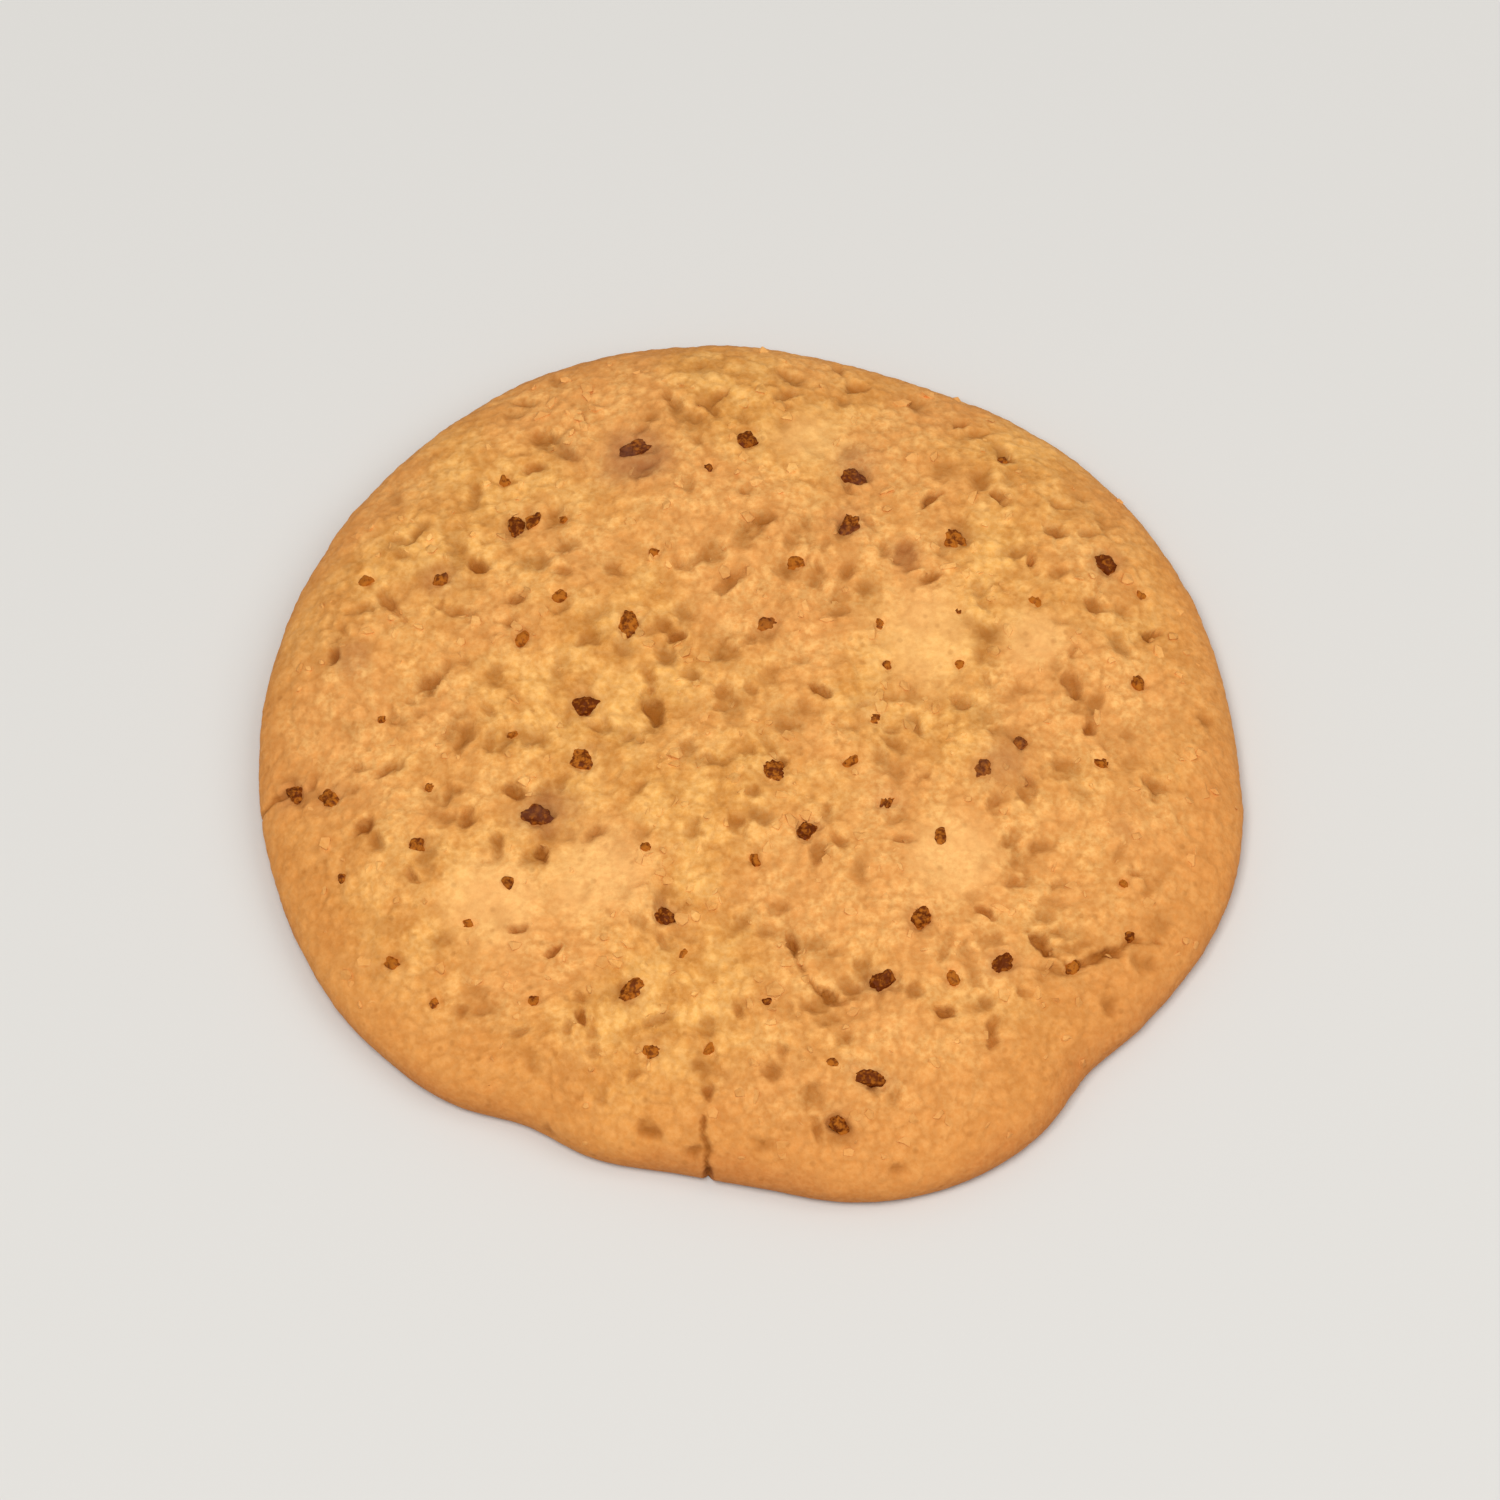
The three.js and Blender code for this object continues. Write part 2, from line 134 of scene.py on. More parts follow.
# The largest pieces of blueberry: the weaker, the lighter, and the shallower its pit.
LARGE_BITS = oval_spots(
    (-16.5, -7.5, 3.2, 2.4, 50),
    (-13, 2.5, 2.4, 1.9, 110),
    (-13, -2.5, 2.8, 2, 60, 0.75),
    (0, 27, 2.2, 2, 90, 0.95),
    (8.5, 23.5, 2.4, 1.9, 5, 0.95),
    (8, 18.5, 2.1, 1.9, 90, 0.8),
    (16.5, 17.5, 2.6, 2, 160, 0.6),
    (28.5, 16, 2.5, 1.9, 50, 0.95),
    (-9.5, 9.5, 2.8, 1.8, 50, 0.65),
    (-18.5, 19, 3.1, 1.5, 60, 0.85),
    (-9, 26, 3.2, 1.8, 5, 0.8),
    (2, -4, 2.2, 2, 100, 0.85),
    (4.5, -9, 2.1, 1.8, 40),
    (11, -6.5, 1.9, 1.4, 0, 0.7),
    (13.5, -16.5, 2.5, 2.2, 20, 0.75),
    (20, -20, 2.6, 1.8, 10, 0.95),
    (10.5, -22, 2.6, 1.7, 5),
    (9.5, -30, 3, 1.6, 165, 0.95),
    (7, -33.5, 1.8, 1.5, 120, 0.75),
    (-6.5, -16.5, 2.3, 1.8, 150, 0.9),
    (-9, -22.5, 2.9, 1.7, 50, 0.7),
    (-7.5, -27.5, 1.9, 1.7, 70, 0.65),
    (-36, -4, 2.1, 1.8, 20, 0.9),
    (-33, -5, 2.2, 1.5, 40, 0.65),
    (18.5, -3.5, 2, 1.5, 30, 0.65),
)
# Middling pieces.
MIDDLING_BITS = oval_spots(
    (-30.5, 14.5, 1.7, 1.4, 150),
    (-24.5, 14, 1.9, 1.6, 20),
    (-15, 12, 1.6, 1.3, 170),
    (-18, 8.5, 1.9, 1.5, 150),
    (-7.5, 16, 1.6, 1.3, 80),
    (4, 15, 2, 1.5, 10),
    (1.5, 9.5, 2.1, 1.5, 45),
    (23, 12, 1.7, 1.4, 30),
    (31.5, 13.5, 1.7, 1.3, 160),
    (31, 5, 1.9, 1.2, 15),
    (28, -2.5, 1.6, 1.4, 70),
    (10, 1, 1.7, 1.2, 90),
    (8, -3, 1.7, 1.2, 150),
    (21.5, -1, 1.6, 1.4, 20),
    (-26, -10, 1.6, 1.4, 110),
    (-28, -19.5, 2.2, 1.3, 25),
    (-24.5, -23, 1.6, 1.3, 130),
    (-20, -29.5, 1.5, 1.3, 60),
    (-3, -27.5, 1.6, 1.2, 75),
    (-5, -19.5, 1.7, 1.4, 20),
    (0.5, -11.5, 1.8, 1.3, 120),
    (1.5, -23.5, 1.7, 1.3, 15),
    (16, -21.5, 1.9, 1.3, 80),
    (25.5, -20, 1.7, 1.4, 20),
    (30, -17, 1.3, 1.1, 60),
    (-19.5, 23.5, 1.5, 1.3, 35),
    (-32, -12, 1.4, 1.2, 70),
)
# Open pores: the weaker, the shallower.
LARGE_PORES = oval_spots(
    (-28.5, 12, 3.6, 1, 125, 0.7),
    (-23, 11, 2.5, 1, 175, 0.7),
    (-25.5, 4.5, 3.8, 1.1, 45, 0.8),
    (-1.5, 13.5, 3.2, 1.2, 50, 0.75),
    (0.5, 18.5, 2, 1.3, 40, 0.5),
    (-16, 27.5, 2.2, 1.1, 165, 0.8),
    (-17, 24.5, 2.2, 1.2, 20, 0.8),
    (-7.5, 2, 3.8, 1.3, 105),
    (-9.5, -0.5, 2.6, 1.5, 10, 0.7),
    (-2, 3, 2.8, 1.3, 75, 0.6),
    (-28.5, -3, 2.6, 1.1, 30, 0.8),
    (-31, -2.5, 1.6, 0.9, 160, 0.7),
    (-18.5, -5.5, 2, 1.3, 150),
    (-22, -8, 1.9, 1.1, 80),
    (-12, -9, 2, 1, 30, 0.8),
    (3.5, -19, 2.4, 1.1, 110),
    (6.5, -23.5, 2.6, 1, 150, 0.8),
    (23, -18.5, 2.9, 1.1, 125),
    (28.5, -18.5, 1.8, 0.9, 10, 0.8),
    (19, -26, 2.8, 1.1, 70, 0.7),
    (32, -4, 2.6, 1, 170, 0.7),
    (22, -5.5, 2.1, 1.2, 85, 0.75),
    (19.5, -6.5, 1.9, 1.6, 80, 0.6),
    (21, -13, 1.9, 1.2, 0, 0.7),
    (25.5, 4.5, 2.5, 1.4, 120, 0.7),
    (27.5, 12, 2.1, 1.1, 150, 0.8),
    (12.5, 16, 2.7, 1.3, 75, 0.6),
    (17, 2.5, 2, 1.3, 160, 0.7),
    (5.5, 3.5, 1.9, 1, 145),
    (-2.5, 31.5, 2.3, 1, 50, 0.7),
    (3, 31.5, 2.3, 1, 20, 0.7),
    (-18.5, 12, 1.8, 1.1, 0),
    (-21.5, 15, 1.8, 1, 150),
    (-3, -31, 1.7, 1.2, 90, 0.8),
)
# Where juice has run into the dough: place and radius in millimetres, strength from 0 to 1.
STAINS = (
    (-15.8, -7, 3.2, 0.75),
    (-9, 25.2, 3.6, 0.8),
    (-14, 25.8, 2.4, 0.35),
    (8.5, 24.8, 2.6, 0.55),
    (8, 18.5, 2, 0.5),
    (20, -3, 3.6, 0.6),
    (-31.5, 7.3, 2.2, 0.45),
    (-24.5, 14, 2.2, 0.5),
    (12.7, 15.8, 2.2, 0.5),
    (9.8, 1.6, 1.8, 0.35),
    (29.5, -8.5, 1.6, 0.3),
    (1.6, 9.5, 1.8, 0.3),
)
# Cracks: half width and depth in millimetres, and a route whose points are [direction in degrees,
# distance along the crust in millimetres].
CRACKS = (
    (0.6, 1.2, ((-96, 35), (-95.5, 38), (-95, 40.5), (-94.5, 43))),
    (0.42, 0.8, ((186, 35.5), (186.5, 38), (187, 40.5), (187, 42.5))),
    (0.42, 0.8, ((-38, 28), (-39, 31), (-38, 32.5), (-33.5, 33.5), (-30, 34.5), (-27, 37))),
    (0.34, 0.6, ((-80, 17), (-79, 20), (-78.5, 22), (-74.5, 23.5), (-69.5, 24.5))),
)
# Smoother, paler places of the crust: place and radius in millimetres.
SMOOTH_PATCHES = (
    (22.5, 8.5, 4),
    (-12, -13, 5.5),
    (14, 8, 6),
    (16, -11, 4.5),
    (-20, -15, 5),
    (5, 27, 4),
)


# ---------------- settings


def length(name, description, millimetres):
    """A size that a user can change, shown in the scene's units."""
    return bpy.props.FloatProperty(
        name=name,
        description=description,
        default=millimetres * MM,
        min=0,
        precision=5,
        unit="LENGTH",
    )


def share(name, description, default):
    return bpy.props.FloatProperty(
        name=name, description=description, default=default, min=0, subtype="FACTOR"
    )


def quantity(name, description, default, unit="NONE"):
    return bpy.props.FloatProperty(
        name=name, description=description, default=default, min=0, unit=unit
    )


def bearing(name, description, degrees):
    return bpy.props.FloatProperty(
        name=name, description=description, default=math.radians(degrees), unit="ROTATION"
    )


def count(name, description, default):
    return bpy.props.IntProperty(name=name, description=description, default=default, min=0)


def as_light(screen):
    """The light behind one screen value from 0 to 255."""
    screen /= 255
    return ((screen + 0.055) / 1.055) ** 2.4 if screen > 0.04045 else screen / 12.92


def colour(name, description, red, green, blue):
    """A colour given as it looks on screen, from 0 to 255, kept as light."""
    light = (as_light(red), as_light(green), as_light(blue), 1)
    return bpy.props.FloatVectorProperty(
        name=name, description=description, default=light, size=4, subtype="COLOR", min=0, max=1
    )


class DoughSettings(bpy.types.PropertyGroup):
    mean_radius: length("Mean radius", "Mean distance from the middle to the edge", MEAN_RADIUS)
    edge_inset: length("Edge inset", "How far the skin stays inside the solid's edge", 0.14)
    widest_at: length("Widest at", "Height of the widest level", 1.9)
    shoulder_rise: length("Shoulder rise", "From the widest level to the top of the shoulder", 5.5)
    dome_rise: length("Dome rise", "From the shoulder to the middle", 0.9)
    crown_power: quantity("Crown power", "How far the crust stays level before it rolls over", 4.6)
    foot_inset: length("Foot inset", "How far the foot stands in from the widest level", 1.6)
    foot_spare: length("Foot spare", "How far the rounded foot would reach below the base", 0.3)
    flat_radius: length("Flat radius", "Radius of the flat middle of the base", 32)
    base_curl: share("Base curl", "Rise of the base outside its flat middle, per length", 0.025)
    rings: count("Rings", "Rings of facets from the middle of the crust to the foot", 156)
    swell: share("Swell", "How much of the solid's swells shows", 1)
    lump_size: length("Lump size", "Size of the soft lumps of the crust", 5.2)
    lump_height: length("Lumps", "Height of the soft lumps of the crust", 0.15)
    crumb_size: length("Crumb size", "Size of the larger grains of crumb", 1.45)
    fine_crumb_size: length("Fine crumb size", "Size of the smaller grains of crumb", 0.75)
    crumb_height: length("Crumb", "Depth of the seams between grains of crumb", 0.16)
    grain_size: length("Grain size", "Size of the finest grain", 0.6)
    grain_height: length("Grain", "Height of the finest grain", 0.06)
    pore_depth: length("Pores", "Depth of the open pores", 0.95)
    pit_depth: length("Pits", "Depth of the pits round the pieces of blueberry", 0.5)
    pit_margin: length("Pit margin", "Open rim between a piece and the dough", 0.3)
    lip_height: length("Lips", "Height of the dough that is raised round a pit", 0.12)
    pock_depth: length("Pocks", "Depth of the pocks in the underside", 0.28)
    dimple_depth: length("Dimples", "Depth of the wide dimples in the underside", 0.1)
    fine_pores: count("Fine pores", "Number of the small pores", 330)
    seed: count("Seed", "Start of every random draw in the dough", 5)
    cream: colour("Cream", "Palest crumb", 255, 199, 121)
    gold: colour("Gold", "Most of the crust", 243, 178, 93)
    amber: colour("Amber", "Deeper patches of the crust", 213, 143, 65)
    rosy: colour("Rosy", "Wide patches of the crust with a redder bake", 232, 158, 86)
    pale: colour("Pale", "Smooth, paler patches of the crust", 246, 188, 116)
    browned: colour("Browned", "The browned edge", 218, 142, 70)
    foot: colour("Foot", "The darkest browning, at the foot and on the base", 194, 116, 56)
    # Painted shade for pores, pinholes, cracks, seams between grains and pocks of the base, over a
    # browner crumb.
    hollows: colour("Hollows", "Pores and seams", 142, 78, 8)
    juice: colour("Juice", "Dough that juice has run into", 146, 88, 58)


class BerrySettings(bpy.types.PropertyGroup):
    proud: length("Proud", "How far a piece stands above the crust", 0.1)
    depth: length("Depth", "How far a piece reaches into the dough", 1.5)
    wrinkle: share("Wrinkle", "Depth of the wrinkles, as a share of the piece's half width", 0.36)
    density: quantity("Speck density", "Most berry specks on a square metre of crust", 1300)
    spacing: length("Speck spacing", "Least distance between two berry specks", 1.6)
    smallest: length("Smallest speck", "Size of the smallest berry speck", 0.75)
    largest: length("Largest speck", "Size of the largest berry speck", 1.35)
    sunk: share("Sunk specks", "Share of a speck that is baked into the crust", 0.5)
    dent: length("Dents", "How far a speck's corners are moved at random", 0.7)
    seed: count("Seed", "Start of every random draw in the berries", 23)
    skin: colour("Skin", "Dark dried skin", 100, 42, 3)
    flesh: colour("Flesh", "Lighter baked flesh", 178, 102, 28)
    plum: colour("Plum", "Purple skin where the juice has run", 100, 55, 36)


class CrumbSettings(bpy.types.PropertyGroup):
    density: quantity("Density", "Most crumbs on a square metre of crust", 380000)
    spacing: length("Spacing", "Least distance between two crumbs", 0.75)
    smallest: length("Smallest", "Size of the smallest crumb", 0.5)
    largest: length("Largest", "Size of the largest crumb", 1.3)
    sunk: share("Sunk", "Share of a crumb that is baked into the crust", 0.6)
    dent: length("Dents", "How far a crumb's corners are moved at random", 0.7)
    seed: count("Seed", "Start of the random scatter of crumbs", 3)


class StudioSettings(bpy.types.PropertyGroup):
    azimuth: bearing("Azimuth", "Direction that the camera looks in, 0 along +Y", 0)
    elevation: bearing("Elevation", "Height of the camera above the horizon", 62)
    distance: length("Distance", "From the camera to the middle of the cookie", 850)
    filled: share("Filled", "Share of the picture's width that the cookie fills", 0.66)
    floor: colour("Floor", "The pale floor", 214, 212, 208)
    key_power: quantity("Key light", "Power of the light over the cookie", 5.6, "POWER")
    fill_power: quantity("Fill light", "Power of the light to the right", 2.4, "POWER")
    ambient: share("Ambient", "Strength of the light from all round", 0.385)


# ---------------- numbers and noise


def smoothstep(low, high, value):
    t = np.clip((value - low) / (high - low), 0, 1)
    return t * t * (3 - 2 * t)


def soft_noise(points, size, shift):
    """Smooth noise, about -1 to 1, with features of that size, at each point."""
    return np.array([noise.noise(place) for place in (points / size + shift).tolist()])


def grain_noise(points, size, shift=0.0):
    """How far each point is from a seam between grains of that size, and its grain's height."""
    seams = np.empty(len(points))
    heights = np.empty(len(points))
    for i, place in enumerate((points / size + shift).tolist()):
        distances, centres = noise.voronoi(place)
        seams[i] = distances[1] - distances[0]
        heights[i] = noise.noise(centres[0] * 3.7)
    return seams, heights


def seeded(seed):
    """An endless, repeatable stream of numbers from 0 to 1, the same as the solid's."""
    state = seed
    while True:
        state = (state + 0x6D2B79F5) & 0xFFFFFFFF
        mixed = ((state ^ (state >> 15)) * (state | 1)) & 0xFFFFFFFF
        mixed ^= (mixed + (mixed ^ (mixed >> 7)) * (mixed | 61)) & 0xFFFFFFFF
        yield (mixed ^ (mixed >> 14)) / 4294967296


def between(limits, part):
    low, high = limits
    return low + (high - low) * part


def scatter(seed, amount, lengths, slimness, clear, reach, taken):
    """Oval spots by the solid's own draw, clear of the taken ones and of each other.

    lengths and clear are millimetres, slimness is the width as a share of the length, and reach
    is the share of the crust that they lie on."""
    draw = seeded(seed)
    placed = []
    while len(placed) < amount:
        radius = MEAN_RADIUS * reach * math.sqrt(next(draw))
        angle = 2 * math.pi * next(draw)
        size, slim, turn = next(draw), next(draw), 180 * next(draw)
        x, y = radius * math.cos(angle), radius * math.sin(angle)
        if any(math.hypot(other.x - x, other.y - y) < clear for other in (*taken, *placed)):
            continue
        long = between(lengths, size)
        placed.append(Spot(x, y, long, long * between(slimness, slim), turn))
    return placed


NAMED = (*LARGE_BITS, *MIDDLING_BITS, *LARGE_PORES)
SMALL_BITS = (
    *MIDDLING_BITS,
    *scatter(11, 14, lengths=(1, 1.5), slimness=(0.6, 0.95), clear=3.6, reach=0.93, taken=NAMED),
)
PLACED = (*LARGE_BITS, *SMALL_BITS, *LARGE_PORES)
PORES = (
    *LARGE_PORES,
    *scatter(47, 18, lengths=(1.3, 2.1), slimness=(0.4, 0.65), clear=3, reach=0.9, taken=PLACED),
)


# ---------------- the skin of the cookie

# How finely the section is followed, over the crust and round the foot, and the outline.
TOP_STEPS = 600
FOOT_STEPS = 200
OUTLINE_STEPS = 1440


def edge_distance(angle):
    """Distance from the middle to the edge in each direction: a smooth curve through EDGE."""
    directions, distances = np.array(EDGE, dtype=float).T
    directions = np.radians(directions)
    distances = distances * MM
    span = np.diff(directions, append=directions[0] + 2 * math.pi)
    slope = np.diff(distances, append=distances[0]) / span
    before = np.roll(span, 1)
    lean = (slope * before + np.roll(slope, 1) * span) / (span + before)
    wrapped = directions[0] + np.mod(angle - directions[0], 2 * math.pi)
    near = np.searchsorted(directions, wrapped, side="right") - 1
    far = (near + 1) % len(EDGE)
    width = span[near]
    t = (wrapped - directions[near]) / width
    return (
        distances[near] * (2 * t**3 - 3 * t**2 + 1)
        + lean[near] * width * (t**3 - 2 * t**2 + t)
        + distances[far] * (3 * t**2 - 2 * t**3)
        + lean[far] * width * (t**3 - t**2)
    )


def swells(x, y):
    height = np.zeros_like(x)
    for rise, wave, heading, shift in SWELLS:
        along = x * math.cos(math.radians(heading)) + y * math.sin(math.radians(heading))
        height += rise * MM * np.sin(2 * math.pi * along / (wave * MM) + math.radians(shift))
    return height


class Skin:
    """The cookie's smooth skin. reach is the distance along it from the middle of the crust."""

    def __init__(self, dough):
        self.dough = dough
        self.radius = dough.mean_radius
        turn = np.linspace(0, math.pi / 2, TOP_STEPS)
        crown = np.sin(turn) ** (2 / dough.crown_power)
        under = np.linspace(0, math.pi / 2, FOOT_STEPS)[1:]
        self.share = np.append(crown, 1 - dough.foot_inset / self.radius * (1 - np.cos(under)))
        top = dough.widest_at + dough.shoulder_rise * np.cos(turn)
        top += dough.dome_rise * (1 - crown**2)
        foot = dough.widest_at - (dough.widest_at + dough.foot_spare) * np.sin(under)
        self.height = np.append(top, foot)
        steps = np.hypot(np.diff(self.share) * self.radius, np.diff(self.height))
        self.reach = np.append(0, np.cumsum(steps))
        base = self.base_height(self.share * self.radius)
        self.foot = self.reach[np.argmax((self.height <= base) & (self.reach > self.radius))]
        self.out = -np.gradient(self.height, self.reach)
        self.up = np.gradient(self.share * self.radius, self.reach)
        around = np.linspace(0, 2 * math.pi, OUTLINE_STEPS)
        outline = edge_distance(around)[:, None] * np.column_stack((np.cos(around), np.sin(around)))
        self.middle = (outline.max(0) + outline.min(0)) / 2

    def base_height(self, radius):
        """Height of the underside: flat in the middle, with a gentle rise outside it."""
        return np.maximum(0, radius - self.dough.flat_radius) * self.dough.base_curl

    def at(self, angle, reach):
        """Points and outward normals, before the cookie is centred."""
        around = np.column_stack((np.cos(angle), np.sin(angle)))
        share_out = np.interp(reach, self.reach, self.share)
        flat = around * (share_out * (edge_distance(angle) - self.dough.edge_inset))[:, None]
        height = np.interp(reach, self.reach, self.height)
        rise = self.dough.shoulder_rise
        crust = smoothstep(self.dough.widest_at, self.dough.widest_at + rise, height)
        height = height + self.dough.swell * crust * swells(flat[:, 0], flat[:, 1])
        outward = around * np.interp(reach, self.reach, self.out)[:, None]
        normals = np.column_stack((outward, np.interp(reach, self.reach, self.up)))
        normals /= np.linalg.norm(normals, axis=1, keepdims=True)
        return np.column_stack((flat, height)), normals

    def over(self, x, y):
        """Direction and reach of places on the crust given in millimetres from the middle."""
        angle = np.arctan2(y, x)
        share_out = np.hypot(x, y) * MM / edge_distance(angle)
        crown = slice(0, np.argmax(self.share))
        return angle, np.interp(share_out, self.share[crown], self.reach[crown])

    def centred(self, points):
        points[:, :2] -= self.middle
        return points


def ring_disc(rings):
    """A disc of even triangles: a point in the middle with 6, 12, 18 ... points round it.

    Gives each point's ring and direction, and the triangles, anticlockwise seen from above."""
    number = np.arange(rings + 1)
    around = np.maximum(1, 6 * number)
    starts = np.append(0, np.cumsum(around))[:-1]
    ring = np.repeat(number, around)
    angle = (np.arange(len(ring)) - starts[ring]) / around[ring] * 2 * math.pi
    triangles = []
    for k in range(1, rings + 1):
        step = np.arange(6 * k)
        inner = (step // k) * (k - 1) + step % k
        inside = around[k - 1]
        a, b = starts[k] + step, starts[k] + (step + 1) % (6 * k)
        c, d = starts[k - 1] + inner % inside, starts[k - 1] + (inner + 1) % inside
        triangles.append(np.column_stack((a, b, c)))
        gap = step % k < k - 1
        triangles.append(np.column_stack((c, b, d))[gap])
    return ring, angle, np.concatenate(triangles)


# ---------------- relief of the crust

# Noise that bends the outlines of pores and cracks, and two that fray them: size and reach.
BEND_SIZE, BEND_REACH = 1.3 * MM, 0.34 * MM
RAGGED_SIZE, RAGGED_REACH = 1.1 * MM, 0.24 * MM
FRAYED_SIZE, FRAYED_REACH = 0.6 * MM, 0.16 * MM
# How far the ends of an oval spot bow to one side, as a share of its half width.
BOW = 0.25
# Half width of a spot above which its outline is as ragged as it gets.
RAGGED_FROM = 0.7 * MM
# Straight legs for each point of a crack's route, and how far from its middle it is looked for.
CRACK_LEGS = 8
CRACK_WINDOW = 12 * MM
# Fine pores: length in millimetres, width as a share of the length, and strength.
FINE_LENGTHS = (1.4, 3.3)
FINE_WIDTHS = (0.35, 0.72)
FINE_STRENGTHS = (0.3, 0.8)
# How far out they lie, and where the last of them would be dropped, in millimetres.
FINE_REACH = 38.5
FINE_END = 39
# Side, toward the camera, where painted shade darkens the edge further in, in degrees.
SHADED_SIDE = -85


def spot_depth(flat, skin, spots, margin, ragged, steep=0.5):
    """How deep points of the unrolled crust lie in oval spots: 0 outside, up to a spot's strength.

    ragged moves the outline in or out. The wall takes the share steep of a spot's half width."""
    depth = np.zeros(len(flat))
    for spot in spots:
        angle, reach = skin.over(spot.x, spot.y)
        away = flat - np.array((reach * math.cos(angle), reach * math.sin(angle)))
        half_long, half_wide = spot.long / 2 * MM, spot.wide / 2 * MM
        near = np.abs(away).max(axis=1) < 1.5 * half_long + 3 * margin + 0.6 * MM
        turn = math.radians(spot.turn)
        along = away[near] @ np.array((math.cos(turn), math.sin(turn)))
        across = away[near] @ np.array((-math.sin(turn), math.cos(turn)))
        bowed = across + BOW * half_wide * (along / half_long) ** 2
        distance = np.hypot(along / half_long, bowed / half_wide)
        wall = np.where(distance < 1, half_wide, (half_long + half_wide) / 2)
        beyond = (distance - 1) * wall + ragged[near] * min(1, half_wide / RAGGED_FROM)
        inside = 1 - smoothstep(-steep * half_wide, margin, beyond)
        depth[near] = np.maximum(depth[near], spot.strength * inside)
    return depth


def crack_depth(flat, bend, beads):
    """How deep each point of the unrolled crust lies in a crack. Beads break a crack's width up."""
    depth = np.zeros(len(flat))
    for half_width, deepest, route in CRACKS:
        directions, reaches = np.array(route, dtype=float).T
        steps = np.arange(len(route))
        fine = np.linspace(0, len(route) - 1, CRACK_LEGS * len(route))
        angle = np.radians(np.interp(fine, steps, directions))
        reach = np.interp(fine, steps, reaches) * MM
        line = np.column_stack((reach * np.cos(angle), reach * np.sin(angle)))
        near = np.flatnonzero(np.abs(flat - line.mean(axis=0)).max(axis=1) < CRACK_WINDOW)
        points = flat[near] + bend[near]
        nearest = np.full(len(near), 1.0)
        taper = np.zeros(len(near))
        for i in range(len(line) - 1):
            start, leg = line[i], line[i + 1] - line[i]
            along = np.clip((points - start) @ leg / (leg @ leg), 0, 1)
            distance = np.linalg.norm(points - start - along[:, None] * leg, axis=1)
            closer = distance < nearest
            nearest[closer] = distance[closer]
            taper[closer] = np.sin(math.pi * ((i + along[closer]) / (len(line) - 1) * 0.94 + 0.03))
        open_share = (0.45 + 0.55 * taper) * (0.5 + 0.5 * beads[near])
        wall = np.clip(1 - nearest / (half_width * MM * open_share), 0, 1) ** 0.8
        depth[near] = np.maximum(depth[near], deepest * MM * open_share * wall)
    return depth


def fine_pores(dough, rng):
    """Small, mostly shallow pores in random headings on the crust, fewer towards the edge."""
    spots = []
    while len(spots) < dough.fine_pores:
        reach = FINE_REACH * math.sqrt(rng.random())
        if rng.random() < (reach / FINE_END) ** 8:
            continue
        angle = 2 * math.pi * rng.random()
        long = between(FINE_LENGTHS, rng.random() ** 1.5)
        wide = long * between(FINE_WIDTHS, rng.random())
        strength = between(FINE_STRENGTHS, rng.random())
        x, y = reach * math.cos(angle), reach * math.sin(angle)
        spots.append(Spot(x, y, long, wide, 180 * rng.random(), strength))
    return spots


def parts_away(points, x, y, size):
    """Distance of each point from a place given in millimetres, as parts of that size."""
    return np.hypot(points[:, 0] - x * MM, points[:, 1] - y * MM) / (size * MM)


def smooth_places(points):
    """How smooth the crust is at each point, from 0 to 1."""
    smooth = np.zeros(len(points))
    for x, y, size in SMOOTH_PATCHES:
        away = parts_away(points, x, y, size) + 0.25 * soft_noise(points, 4 * MM, size)
        smooth = np.maximum(smooth, 1 - smoothstep(0.3, 1.1, away))
    return smooth


def juice_stains(points, lumps):
    """How much juice has run into the crust at each point, from 0 to 1."""
    stains = np.zeros(len(points))
    for x, y, size, strength in STAINS:
        away = parts_away(points, x, y, size) + 0.4 * lumps
        stains = np.maximum(stains, strength * (1 - smoothstep(0.2, 1.1, away)))
    return stains


def outline_noise(points):
    """How far an outline is bent sideways at each point, and how far it is frayed in or out."""
    sideways = [soft_noise(points, BEND_SIZE, shift) for shift in (11.3, 47.9)]
    frayed = RAGGED_REACH * soft_noise(points, RAGGED_SIZE, shift=5.1)
    frayed += FRAYED_REACH * soft_noise(points, FRAYED_SIZE, shift=65.1)
    return BEND_REACH * np.column_stack(sideways), frayed


